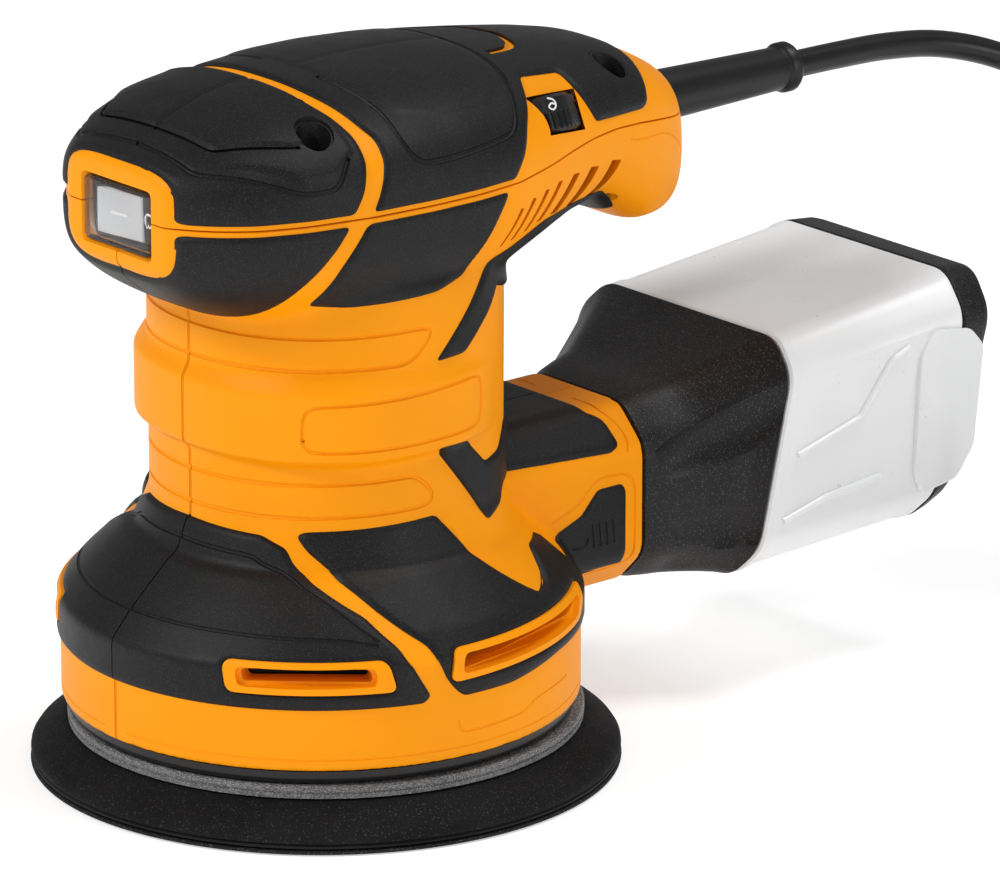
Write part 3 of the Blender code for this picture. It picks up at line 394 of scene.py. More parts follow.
YELLOW = material(
    "yellow_shell", (0.93, 0.315, 0.0), 0.48, grain=0.1, grain_size=0.4, mottle=0.01, specular=0.16,
)
RUBBER = material(
    "grip_rubber", (0.004, 0.004, 0.0043), 0.5, grain=0.7, grain_size=0.3, mottle=0.12,
    specks=(0.02, 0.02, 0.02), speck_share=0.34, specular=0.3,
)
COARSE = material(
    "coarse_plastic", (0.006, 0.006, 0.0065), 0.45, grain=0.9, grain_size=0.36, mottle=0.12,
    specks=(0.045, 0.045, 0.045), speck_share=0.34, specular=0.36,
)
SMOOTH_BLACK = material(
    "smooth_black", (0.008, 0.008, 0.008), 0.32, grain=0.08, grain_size=0.3, specular=0.4,
)
SLEEVE = material(
    "sleeve_rubber", (0.006, 0.006, 0.0065), 0.38, grain=0.25, grain_size=0.3, mottle=0.1, specular=0.4,
)
CORD = material(
    "cord_jacket", (0.006, 0.006, 0.0065), 0.36, grain=0.1, grain_size=0.5, mottle=0.1, specular=0.4,
)
FOAM = material(
    "foam", (0.005, 0.005, 0.0055), 0.8, grain=1.0, grain_size=0.42, mottle=0.2,
    specks=(0.035, 0.035, 0.036), speck_share=0.3, specular=0.2,
)
HOOK = material(
    "hook_layer", (0.01, 0.01, 0.011), 0.9, grain=1.0, grain_size=0.3, mottle=0.2, sheen=0.1,
    specular=0.2,
)
GRIT = material(
    "grit", (0.006, 0.006, 0.006), 0.75, grain=1.0, grain_size=0.3, mottle=0.2,
    specks=(0.09, 0.085, 0.08), speck_share=0.32, specular=0.3,
)
BACKING = material(
    "backing_plastic", (0.1, 0.1, 0.103), 0.5, grain=0.5, grain_size=0.4, mottle=0.2,
    streak=(1.0, 1.0, 3.0), specks=(0.3, 0.3, 0.3), speck_share=0.42, specular=0.3,
)
# glow=0.03 is painted light: a faint white emission that brightens the canister, which is no lamp.
FROST = material(
    "frosted_clear", (0.88, 0.885, 0.89), 0.3, grain=0.03, grain_size=1.5, mottle=0.01, transmission=0.15,
    glow=0.03,
)
LINER = material("liner", (0.6, 0.61, 0.62), 0.6, grain=0.3, grain_size=0.8, mottle=0.05)
BOOT = material("clear_boot", (0.97, 0.975, 0.98), 0.05, mottle=0.005, transmission=0.97, ior=1.12)
# Painted reflection: pale grey that stands in for a softbox reflected in the black switch rocker.
PAINTED_REFLECTION = material("painted_reflection_facet", (0.62, 0.63, 0.64), 0.3, grain=0.05, grain_size=0.6)
MARK = material("white_mark", (0.85, 0.85, 0.85), 0.45, grain=0.05, grain_size=0.3)
STEEL = material("steel", (0.62, 0.62, 0.63), 0.22, grain=0.1, grain_size=0.3, mottle=0.06, metallic=1.0)
DARK_STEEL = material(
    "laminations", (0.25, 0.25, 0.26), 0.42, grain=0.6, grain_size=0.5, metallic=0.9,
    streak=(0.05, 0.05, 4.0),
)
COPPER = material("copper", (0.7, 0.28, 0.1), 0.3, grain=0.8, grain_size=0.6, mottle=0.1, metallic=0.9)
BRASS = material("brass", (0.72, 0.5, 0.18), 0.28, grain=0.1, mottle=0.05, metallic=1.0)
CARBON = material("carbon", (0.04, 0.04, 0.042), 0.7, grain=0.4, grain_size=0.3, mottle=0.2)
CAST = material(
    "cast_plate", (0.55, 0.55, 0.56), 0.45, grain=0.5, grain_size=0.9, mottle=0.08, metallic=0.9,
)
BOARD = material("board", (0.02, 0.16, 0.05), 0.4, grain=0.2, grain_size=0.8, mottle=0.15)
PAPER = material("filter_paper", (0.72, 0.72, 0.69), 0.9, grain=0.8, grain_size=0.6, mottle=0.06, sheen=0.2)

CARRIED = {
    STEEL: ("armature_shaft", "upper_bearing", "lower_bearing", "counterweight", "pad_bearing"),
    DARK_STEEL: ("stator_core", "armature_core"),
    COPPER: ("stator_coils", "armature_windings", "commutator"),
    BRASS: ("brush_holder_right", "brush_holder_left"),
    CARBON: ("carbon_brush_right", "carbon_brush_left"),
    CAST: ("bearing_plate",),
    BOARD: ("speed_board",),
    SMOOTH_BLACK: ("fan", "switch_body", "cable_clamp"),
    PAPER: ("dust_filter",),
}


def dress_carried_nodes():
    for stock, names in CARRIED.items():
        for name in names:
            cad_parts[name].data.materials.clear()
            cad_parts[name].data.materials.append(stock)


# ---------------------------------------------------------------- housing form

HEAD_REACH = 92.0
HALF_WIDTH = 38.4
SPLIT = 129.3
WALL = 2.5
GAP = 0.3
SKIRT_BOTTOM = 15.6
SKIRT_RADIUS = 54.8
SHOULDER = 37.7
NECK_RADIUS = 36.2
NECK_CENTRE = 1.7
PORT_HALF = 21.8
PORT_LOW = 26.8
PORT_HIGH = 67.2
PORT_CHAMFER = 8.0
PORT_END = 71.2
WINDOW_HALF = (10.85, 7.05)
WINDOW_Z = 128.4
SLEEVE_Z = 127.5
# Sections of the head: y, bottom, top, share of the half width, and the powers above and below the middle.
HEAD_STATIONS = (
    (-52.8, 118.6, 139.4, 0.400, 5.0, 5.0),
    (-50.5, 116.0, 141.0, 0.521, 3.6, 3.6),
    (-46.0, 112.0, 142.6, 0.656, 3.0, 3.0),
    (-40.0, 108.5, 145.4, 0.781, 2.7, 2.7),
    (-30.0, 104.0, 148.7, 0.885, 2.5, 2.5),
    (-15.0, 101.5, 150.8, 0.969, 2.4, 2.5),
    (0.0, 101.0, 151.7, 1.000, 2.4, 2.5),
    (12.0, 101.0, 151.7, 0.997, 2.4, 2.5),
    (24.0, 103.0, 151.1, 0.958, 2.4, 2.5),
    (36.0, 107.5, 150.0, 0.875, 2.5, 2.5),
    (48.0, 112.0, 148.7, 0.766, 2.5, 2.6),
    (60.0, 114.3, 146.9, 0.677, 2.6, 2.8),
    (70.0, 108.5, 144.9, 0.609, 2.7, 2.8),
    (78.0, 104.3, 142.0, 0.536, 2.8, 2.8),
    (85.0, 104.3, 138.3, 0.443, 2.8, 2.8),
    (89.6, 106.5, 134.5, 0.339, 2.7, 2.7),
    (92.0, 111.0, 128.3, 0.190, 2.4, 2.4),
)
# Sections of the skirt and the neck: height, radius, centre along Y and power.
NECK_ROWS = (
    (SKIRT_BOTTOM, SKIRT_RADIUS, 0.0, 2.0),
    (SHOULDER, SKIRT_RADIUS, 0.0, 2.0),
    (42.6, 51.0, 0.6, 2.0),
    (47.2, 46.0, 0.7, 2.05),
    (51.7, 41.2, 1.1, 2.1),
    (53.2, 38.9, 1.3, 2.1),
    (60.9, NECK_RADIUS, NECK_CENTRE, 2.15),
    (104.0, NECK_RADIUS, NECK_CENTRE, 2.2),
    (112.0, 35.6, 1.0, 2.2),
)
BELT_ROWS = ((75.5, 0.0), (77.0, 2.1), (91.0, 2.1), (94.6, 0.0))
SPLIT_LINE = (
    (-60.0, 129.3), (24.0, 129.3), (34.0, 130.2), (43.0, 131.2), (51.5, 131.9), (59.0, 132.0),
    (68.0, 131.2), (77.0, 129.8), (84.0, 128.5), (100.0, 127.5),
)
SCREWS = ((26.5, -22.5, "front"), (17.5, 64.4, "rear"))
SCREW_WELL = 4.1
SCREW_DEPTH = 6.0


def head_table():
    """The head's sections at every millimetre along Y, eased between the stations."""
    stations = np.array(HEAD_STATIONS)
    y = np.linspace(stations[0, 0], stations[-1, 0], 146)
    window = np.hanning(9)[1:-1]
    window /= window.sum()
    reach = len(window) // 2
    columns = []
    for k in range(1, 6):
        values = np.interp(y, stations[:, 0], stations[:, k])
        before = 2 * values[0] - values[reach:0:-1]
        after = 2 * values[-1] - values[-2 : -reach - 2 : -1]
        columns.append(np.convolve(np.concatenate((before, values, after)), window, "valid"))
    return y, columns


TABLE_Y, TABLE = head_table()


def head_size(y):
    bottom, top, width, above, below = (float(np.interp(y, TABLE_Y, column)) for column in TABLE)
    middle = SPLIT - 27.0 * max(0.0, y / HEAD_REACH - 0.66)
    return bottom, top, HALF_WIDTH * width, above, below, middle


def superellipse(steps, power):
    angles = np.arange(steps) * 2 * math.pi / steps
    c, s = np.cos(angles), np.sin(angles)
    return np.sign(c) * np.abs(c) ** (2 / power), np.sign(s) * np.abs(s) ** (2 / power), angles


def head_ring(y, offset, steps):
    bottom, top, width, above, below, middle = head_size(y)
    c1, s1, angles = superellipse(steps, above)
    c2, s2, _ = superellipse(steps, below)
    upper = angles < math.pi
    c, s = np.where(upper, c1, c2), np.where(upper, s1, s2)
    z = middle + np.where(s > 0, top + offset - middle, middle - bottom + offset) * s
    return np.column_stack(((width + offset) * c, np.full(steps, y), z))


def head_side(y, z):
    bottom, top, width, above, below, middle = head_size(y)
    share = (z - middle) / (top - middle) if z > middle else (middle - z) / (middle - bottom)
    power = above if z > middle else below
    return width * max(0.0, 1.0 - abs(share) ** power) ** (1.0 / power)


def head_height(x, y):
    _, top, width, above, _, middle = head_size(y)
    return middle + (top - middle) * max(0.0, 1.0 - abs(x / width) ** above) ** (1.0 / above)


def screw_places():
    """The four housing screws: row, side, x, y and the height of the seat."""
    places = []
    for x, y, row in SCREWS:
        for side, sign in SIDES:
            places.append((row, side, sign * x, y, head_height(x, y) - SCREW_DEPTH))
    return places


def round_ring(z, radius, depth, centre, power, steps):
    c, s, _ = superellipse(steps, power)
    return np.column_stack((radius * c, centre + depth * s, np.full(steps, z)))


def octagon(y, half, low, high, chamfer, slope=0.0, round_off=1.5, steps=4):
    """An eight-sided section with rounded corners, leaning by slope."""
    corners = (
        (half, low + chamfer),
        (half, high - chamfer),
        (half - chamfer, high),
        (chamfer - half, high),
        (-half, high - chamfer),
        (-half, low + chamfer),
        (chamfer - half, low),
        (half - chamfer, low),
    )
    return [(x, y + slope * (z - low), z) for x, z in rounded_profile(corners, round_off, steps)]


def port_ring(y, grow, round_off=2.5):
    """The port's eight-sided section, grown by a distance."""
    chamfer = PORT_CHAMFER + 0.4 * grow
    return octagon(y, PORT_HALF + grow, PORT_LOW - grow, PORT_HIGH + grow, chamfer, round_off=round_off)


def outer_form(name):
    head = loft(name, [head_ring(y, 0.0, 128) for y in TABLE_Y])
    neck = loft("neck", [round_ring(z, r, r, c, n, 144) for z, r, c, n in NECK_ROWS])
    belt = []
    for z, proud in BELT_ROWS:
        radius = NECK_RADIUS + proud
        belt.append(round_ring(z, radius, radius - 3.0, -1.0, 2.25, 144))
    port = loft("port", [port_ring(30.0, 0.0), port_ring(PORT_END, 0.0)])
    form = remeshed(cut(head, [neck, loft("belt", belt), port], "UNION"), VOXEL, 5)
    _, y, z = points_of(form).T
    under = (z > 99.0) & (z < 119.0) & (y > -34.0) & (y < 44.0)
    return eased(form, under, 40)


def inner_form():
    """The cavity inside the wall, less the screw towers."""
    places = [y for y in TABLE_Y[::8] if -50 < y < 89]
    places = (TABLE_Y[0] + WALL, *places, TABLE_Y[-1] - WALL)
    head = loft("cavity", [head_ring(y, -WALL, 40) for y in places])
    rows = []
    for z, r, c, n in NECK_ROWS:
        drop = {SKIRT_BOTTOM: -WALL, SHOULDER: -0.5}.get(z, -0.8 if z < 60 else 0.0)
        rows.append(round_ring(z + drop, r - WALL, r - WALL, c, n, 72))
    bore = loft("bore", [port_ring(NECK_RADIUS + 2.0, -WALL), port_ring(PORT_END + WALL, -WALL)])
    cut(head, [loft("neck_bore", rows), bore], "UNION")
    towers = []
    for _, _, x, y, seat in screw_places():
        profile = ((SCREW_WELL + 1.6, seat - 29.3), (SCREW_WELL + 1.6, 170.0))
        towers.append(turned("tower", profile, 24, matrix=moved(x, y, 0)))
    return cut(head, towers)


SURFACE = outer_form("outer_form")
SURFACE_TREE = BVHTree.FromPolygons(
    [v.co / MM for v in SURFACE.data.vertices], [tuple(p.vertices) for p in SURFACE.data.polygons]
)


def on_surface(path, lift):
    """A path laid on the housing, resampled, lifted along the surface's normals and smoothed."""
    found = []
    for point in resampled(path, 0.8):
        place, normal, _, _ = SURFACE_TREE.find_nearest(Vector(point))
        found.append(place + normal * lift)
    found = np.array(found)
    for _ in range(8):
        found[1:-1] = (found[:-2] + 2 * found[1:-1] + found[2:]) / 4
    return found


def carve(obj, path, radius, lift, flip=1):
    """Cuts a round-bottomed line along a path on the housing."""
    path = np.asarray(path, float) * (flip, 1, 1)
    return cut(obj, [sweep("line", on_surface(path, lift), radius, 10)])


def ring_path(points, flip=1):
    """Points (degrees about the spindle, z) laid near the neck or the skirt, as x, y, z."""
    heights, radii, _, _ = zip(*NECK_ROWS)
    found = []
    for angle, z in resampled(points, 1.0):
        a = math.radians(angle)
        radius = float(np.interp(z, heights, radii))
        centre = NECK_CENTRE * (z > 55)
        found.append((flip * radius * math.cos(a), centre + radius * math.sin(a), z))
    return found


# The air slots on the right: the rim's outline and the slot's, as (degrees about the spindle, z).
VENTS = (
    (
        ((-59.6, 32.6), (-22.6, 32.6), (-24.6, 39.2), (-60.6, 39.2)),
        ((-56.4, 34.7), (-27.6, 34.7), (-28.2, 37.4), (-56.8, 37.4)),
    ),
    (
        ((-10.2, 32.8), (38.0, 34.4), (44.5, 40.6), (-9.0, 39.6)),
        ((-6.6, 34.9), (34.6, 36.2), (38.5, 38.6), (-6.0, 37.8)),
    ),
)
LOUVRES = (
    ((57.9, 125.6), (61.3, 124.8), (56.0, 116.4), (52.6, 117.4)),
    ((50.1, 126.0), (53.1, 125.5), (47.4, 117.4), (44.2, 118.2)),
    ((43.4, 126.2), (45.9, 125.9), (39.6, 118.2), (36.8, 118.6)),
    ((37.6, 126.1), (39.3, 126.0), (33.4, 118.4), (31.6, 118.2)),
    ((33.0, 125.5), (34.4, 125.3), (28.8, 117.4), (27.4, 117.0)),
    ((28.6, 124.8), (29.8, 124.5), (24.4, 116.6), (23.2, 116.2)),
    ((24.6, 123.6), (25.6, 123.3), (21.0, 115.9), (20.1, 115.5)),
)


def cut_vents(shell):
    """Slots in the skirt with a raised rim and sloping sides, and slanted louvres in the handle."""
    for rim, slot in VENTS:
        for _, side in SIDES:
            edge = rounded_profile(rim, 2.0)
            area = around("rim_area", edge, 50.6, 64.0, side)
            raised = cut(grown(SURFACE, "rim", 0.95), [area], "INTERSECT")
            cut(shell, [raised], "UNION")
            spread = ((-1, -1), (1, -1), (1, 1), (-1, 1))
            wide = [(a + 0.8 * s, z + 0.7 * t) for (a, z), (s, t) in zip(slot, spread)]
            narrow = around("slot", rounded_profile(slot, 1.2), 46.0, 54.6, side)
            mouth = around("slot_mouth", rounded_profile(wide, 1.6), 54.4, 64.0, side)
            cut(shell, [narrow, mouth])
    for edge in LOUVRES:
        for _, sign in SIDES:
            cut(shell, [across("louvre", rounded_profile(edge, 0.35), *sorted((sign * 12.0, sign * 45.0)))])


def make_vent_shade_sheets():
    """Dark sheets behind the air slots and the louvres: painted shade that stands in for the dark inside of
    the housing.
    """
    for side, sign in SIDES:
        for i, (rim, _) in enumerate(VENTS):
            name = "vent_shade_sheet_%d_%s" % (i + 1, side)
            # Painted shade: a dark sheet just inside each slot's rim.
            shade_sheet = around(name, rounded_profile(rim, 1.5), 48.2, 49.4, sign)
            finish(shade_sheet, SMOOTH_BLACK, "housing")
        # Painted shade: a dark sheet behind the rear louvres.
        low, high = sorted((sign * 13.6, sign * 14.8))
        outline = ((56.0, 118.0), (58.0, 125.0), (52.0, 126.0), (46.0, 120.5))
        shade_sheet = across("louvre_shade_sheet_" + side, outline, low, high)
        finish(shade_sheet, SMOOTH_BLACK, "housing")


def cut_lines(shell):
    """Engraved lines: bands round the neck, the blank plate's frame, the skirt and the rear bulge."""
    upper = (
        (-90.0, 95.8), (-12.0, 95.8), (-9.4, 96.4), (-1.4, 101.6), (-1.8, 102.7), (-4.0, 102.9),
        (-90.0, 102.7),
    )
    lower = (
        (-90.0, 71.0), (-12.0, 71.6), (-8.6, 71.6), (-1.2, 67.2), (-1.4, 65.4), (-4.0, 64.6),
        (-90.0, 63.8),
    )
    for _, side in SIDES:
        for line in (upper, lower):
            carve(shell, ring_path(line, side), 0.5, lift=0.1)
        plate = rounded_profile(((-45.8, 79.2), (18.6, 79.2), (19.0, 90.2), (-45.6, 89.0)), 2.4)
        carve(shell, ring_path([*plate, plate[0]], side), 0.45, lift=0.08)
        skirt = ((-86.0, 18.2), (-40.0, 18.2), (20.0, 18.2), (60.0, 19.0))
        carve(shell, ring_path(skirt, side), 0.3, lift=0.14)
        mark = ((-8.0, 24.0), (-8.0, 21.2), (12.0, 21.6), (15.0, 23.6), (30.0, 24.2))
        carve(shell, ring_path(mark, side), 0.34, lift=0.12)
        frame_line = (
            (22, 45.4, 46.8), (22, 52.6, 49.4), (22, 57.4, 54.2), (22, 66.0, 54.2), (22, 68.4, 51.8),
            (22, 68.4, 34.4), (22, 66.0, 31.4), (22, 50.0, 30.4),
        )
        carve(shell, frame_line, 0.42, lift=0.12, flip=side)
        collar = (
            (22, 66.4, 58.6), (22, 67.6, 60.6), (18.6, 67.2, 65.0), (15.0, 64.4, 67.4), (6.0, 64.4, 67.4),
        )
        carve(shell, collar, 0.36, lift=0.1, flip=side)
        bulge = catmull(
            (
                (16, 62, 128.6), (22, 68, 127.6), (19, 78, 126.4), (12, 84, 120), (13, 82, 112),
                (17, 76, 107),
            ),
            6,
        )
        carve(shell, bulge, 0.3, lift=0.14, flip=side)
        inlay = catmull(
            ((40.5, 5, 60), (44.8, 14, 49.5), (47.5, 20.0, 43.8), (42, 26, 46), (38, 31, 52)), 6,
        )
        carve(shell, inlay, 0.3, lift=0.14, flip=side)


def split_groove(shell):
    """A fine V along each parting line."""
    line = []
    for y in np.arange(-51.5, 90.5, 1.0):
        z = np.interp(y, *zip(*SPLIT_LINE))
        line.append((head_side(y, z), y, z))
    for _, side in SIDES:
        carve(shell, line, 0.28, lift=0.08, flip=side)
    front = []
    for z in np.arange(16.5, 119.0, 1.0):
        hit, _, _, _ = SURFACE_TREE.ray_cast(Vector((0.0, -200.0, z)), Vector((0.0, 1.0, 0.0)))
        front.append(hit)
    cut(shell, [sweep("front_line", front, 0.4)])


def make_shells():
    shell = copy_of(SURFACE, "shell")
    cut(shell, [inner_form()])
    cut_vents(shell)
    reach, tall = WINDOW_HALF
    low, high = WINDOW_Z - tall, WINDOW_Z + tall
    window = rounded_profile(((reach, low), (reach, high), (-reach, high), (-reach, low)), 1.4)
    hole = loft("window", [[(x, y, z) for x, z in window] for y in (-60.0, -46.0)])
    flare = ((1.0, -51.9), (1.09, -53.2))
    lip = loft(
        "window_lip", [[(x * g, y, WINDOW_Z + (z - WINDOW_Z) * g) for x, z in window] for g, y in flare],
    )
    slot = turned("dial_slot", ((12.5, -4.5), (12.5, 4.5)), 64, matrix=DIAL)
    sleeve = turned("sleeve_hole", ((6.1, 60.0), (6.1, 131.0)), 48, matrix=ON_SLEEVE)
    cut(shell, [hole, lip, slot, sleeve])
    for _, _, x, y, seat in screw_places():
        well = ((SCREW_WELL, seat), (SCREW_WELL, seat + SCREW_DEPTH + 8.0))
        bore = ((2.1, seat - 24.0), (2.1, seat + 1.0))
        cut(shell, [turned("well", well, 40, matrix=moved(x, y, 0))])
        cut(shell, [turned("bore", bore, 24, matrix=moved(x, y, 0))])
    cut_lines(shell)
    split_groove(shell)
    half = GAP / 2
    above = [(y, z + half) for y, z in SPLIT_LINE] + [(100.0, 200.0), (-60.0, 200.0)]
    below = [(y, z - half) for y, z in SPLIT_LINE] + [(100.0, 0.0), (-60.0, 0.0)]
    top = cut(copy_of(shell, "shell_top"), [across("above", above, -60.0, 60.0)], "INTERSECT")
    right = cut(copy_of(shell, "shell_right"), [across("below", below, half, 80.0)], "INTERSECT")
    left = cut(shell, [across("below", below, -80.0, -half)], "INTERSECT")
    left.name = "shell_left"
    for made, node in ((top, "top_cover"), (right, "body_right"), (left, "body_left")):
        finish(made, YELLOW, "housing", node, slot="yellow_shell")


# ---------------------------------------------------------------- places of the dial and the sleeve

DIAL_RADIUS = 12.0
DIAL_PROUD = 0.9
DIAL_TILT = math.radians(25.0)
DIAL_RIM = Vector((head_side(38.5, 140.0), 38.5, 140.0))
DIAL_OUTWARD = Vector((math.cos(DIAL_TILT), 0.0, math.sin(DIAL_TILT)))
DIAL_CENTRE = DIAL_RIM + DIAL_OUTWARD * (DIAL_PROUD - DIAL_RADIUS)
DIAL = Matrix.Translation(DIAL_CENTRE * MM) @ Matrix.Rotation(-DIAL_TILT, 4, "Y")

ON_SLEEVE = moved(0, 0, SLEEVE_Z) @ ALONG_Y

# ---------------------------------------------------------------- rubber skins

OUTER_SKIN = grown(SURFACE, "outer_skin", SKIN + 0.15)
UNDER_SKIN = grown(SURFACE, "under_skin", -0.3)
LAYER = cut(OUTER_SKIN, [UNDER_SKIN])


def eased_edge(obj, distance, relief=None):
    """Lowers a skin towards its outline, and adds a relief to its outer face."""
    points = points_of(obj)
    edge = distance(points)
    extra = relief(points) if relief else np.zeros(len(points))
    for i, point in enumerate(points):
        place, normal, _, reach = SURFACE_TREE.find_nearest(Vector(point))
        rise = Vector(point) - place
        if reach < 0.5 or rise.dot(normal) < 0:
            continue
        share = min(edge[i] / 1.1, 1.0)
        height = SKIN - (SKIN - 0.12) * (1 - share) ** 2 + extra[i]
        points[i] = place + rise / reach * height
    set_points(obj, points)


def skin(part, node, outline, corner, span=None, holes=(), relief=None, paired=True, lines=()):
    """A rubber skin over an outline, with the relief and the carved lines of its outer face.

    Without a span along X, the outline is in degrees about the spindle and height. The skin stands for
    the CAD node, and a paired one is mirrored to the left.
    """
    polar = span is None
    outline = rounded_profile(outline, corner)
    name = "skin_" + part
    right = "_right" if paired else ""
    made = copy_of(LAYER, name + right)
    if polar:
        cut(made, [around("area", outline, 34.0, 110.0)], "INTERSECT")
        cut(made, [around("hole", hole, 34.0, 110.0) for hole in holes])
        keep = GAP / 2
        cut(made, [across("side", ((-90, 0), (90, 0), (90, 200), (-90, 200)), keep, 90.0)], "INTERSECT")
    else:
        cut(made, [across("area", outline, *span)], "INTERSECT")
    if not paired:
        for _, _, x, y, _ in screw_places():
            well = ((SCREW_WELL, 120.0), (SCREW_WELL, 170.0))
            cut(made, [turned("well", well, 40, matrix=moved(x, y, 0))])

    def distance(points):
        if not polar:
            return edge_distance(points[:, 1:], outline)
        scale = math.radians(50.0)
        flat = np.column_stack((np.degrees(np.arctan2(points[:, 1], points[:, 0])) * scale, points[:, 2]))
        best = np.full(len(points), 1e9)
        for edge in (outline, *holes):
            best = np.minimum(best, edge_distance(flat, [(a * scale, z) for a, z in edge]))
        return best

    eased_edge(made, distance, relief)
    for path, radius, *lift in lines:
        carve(made, path, radius, lift=lift[0] if lift else SKIN + 0.1)
    finish(made, RUBBER, "housing", node + right, slot="grip_rubber")
    if paired:
        finish(mirrored(made, name + "_left"), RUBBER, "housing", node + "_left", slot="grip_rubber")


def raised_area(outline, height, ease):
    """Relief that rises inside an outline of (|x|, y) points, easing in from its edge."""
    path = np.array(outline, float)

    def relief(points):
        flat = np.column_stack((np.abs(points[:, 0]), points[:, 1]))
        inside = np.zeros(len(flat), bool)
        for a, b in zip(path, np.roll(path, -1, axis=0)):
            crosses = (a[1] > flat[:, 1]) != (b[1] > flat[:, 1])
            slope = (b[0] - a[0]) / (b[1] - a[1] if b[1] != a[1] else 1e-9)
            inside ^= crosses & (flat[:, 0] < a[0] + slope * (flat[:, 1] - a[1]))
        depth = np.where(inside, edge_distance(flat, path), 0.0)
        share = np.clip(depth / ease, 0.0, 1.0)
        return height * share * share * (3 - 2 * share)

    return relief


FRONT = (
    (-52.1, 130.5), (-19.9, 130.5), (-17.3, 135.0), (-15.1, 140.8), (-14.7, 145.1), (-15.8, 148.7),
    (-17.6, 151.0), (-17.8, 160.0), (-52.1, 160.0),
)
PALM = (
    (-15.4, 130.5), (22.4, 130.5), (26.0, 134.9), (28.9, 139.9), (34.3, 146.2), (35.8, 147.4),
    (47.8, 145.9), (52.5, 135.4), (69.4, 134.2), (71.5, 134.8), (72.9, 138.3), (74.2, 143.1),
    (74.6, 160.0), (-14.4, 160.0), (-14.4, 151.2), (-13.0, 149.1), (-11.9, 146.3), (-10.5, 144.1),
    (-10.9, 140.2), (-12.3, 136.8),
)
SIDE_FRONT = (
    (-52.1, 128.1), (-20.8, 128.1), (-23.6, 123.6), (-27.0, 118.9), (-30.2, 114.6), (-32.4, 111.0),
    (-34.2, 108.0), (-37.0, 105.0), (-41.0, 100.0), (-52.1, 100.0),
)
SIDE_MID = (
    (-16.8, 128.1), (20.6, 128.1), (14.8, 118.0), (11.0, 112.2), (2.0, 110.0), (-18.0, 109.4),
    (-25.6, 109.8), (-21.6, 119.8),
)
STRIP = (
    (1.6, 95.2), (9.8, 95.4), (18.5, 102.3), (22.5, 106.4), (32.0, 103.0), (66.0, 103.0), (69.0, 109.6),
    (64.5, 113.4), (60.0, 116.6), (50.0, 117.3), (35.7, 117.5), (24.8, 113.9), (18.4, 112.0),
)
PORT_SKIN = (
    (0.9, 76.6), (10.7, 75.7), (17.1, 69.8), (23.6, 70.4), (27.8, 74.8), (60.0, 74.8), (60.6, 67.6),
    (64.3, 65.2), (64.9, 60.6), (62.3, 59.4), (26.0, 61.7), (23.6, 59.0), (17.0, 57.6),
)
PORT_PANEL = (
    (43.0, 33.4), (65.4, 33.4), (65.9, 36.0), (65.9, 50.2), (64.8, 51.8), (58.1, 51.8), (53.5, 46.9),
    (46.7, 44.4), (43.0, 41.0),
)
BASE_FRONT = (
    (-100.0, 60.9), (-58.7, 60.2), (-50.0, 58.0), (-47.2, 54.8), (-28.0, 46.6), (-21.2, 41.0),
    (-14.8, 30.4), (-16.4, 29.1), (-100.0, 29.1),
)
BASE_SIDE = (
    (-46.8, 60.6), (-44.0, 61.3), (1.7, 62.1), (5.0, 60.0), (9.6, 56.0), (15.0, 50.6), (21.7, 45.6),
    (25.0, 43.6), (30.0, 44.6), (38.0, 50.0), (50.0, 50.0), (58.0, 31.6), (24.7, 31.0), (7.0, 29.2),
    (-6.6, 29.2), (-8.8, 31.0), (-10.8, 33.4), (-14.3, 40.9), (-28.7, 50.2), (-43.3, 57.8),
)
FRONT_PLATEAU = ((0.0, -42.4), (17.8, -42.2), (27.6, -28.6), (28.4, -19.4), (0.0, -19.4))
FRONT_STEP = ((0.0, -47.2), (18.6, -48.0), (33.2, -30.0), (34.6, -22.9), (32.6, -17.0), (0.0, -17.0))
PALM_PLATEAU = (
    (0.0, -7.0), (14.0, -6.2), (28.6, -2.6), (31.6, 6.0), (31.0, 20.0), (24.4, 29.4), (16.0, 31.4),
    (0.0, 32.2),
)


def make_well_cups():
    """Rubber cups that line the four screw recesses."""
    for row, side, x, y, seat in screw_places():
        outer, inner = SCREW_WELL - 0.1, SCREW_WELL - 0.5
        profile = ((outer, seat + 0.2), (outer, 165.0), (inner, 165.0), (inner, seat + 0.2))
        cup = turned("screw_cup_%s_%s" % (row, side), profile, 48, ring=True, matrix=moved(x, y, 0))
        cut(cup, [grown(SURFACE, "trim", 0.7)], "INTERSECT")
        finish(cup, RUBBER, "housing")


CHEVRON_HALF = ((12.6, 35.2), (11.0, 42.6), (8.0, 45.6))
CHEVRON = [(-x, y) for x, y in CHEVRON_HALF] + [(0.0, 48.0), *reversed(CHEVRON_HALF)]


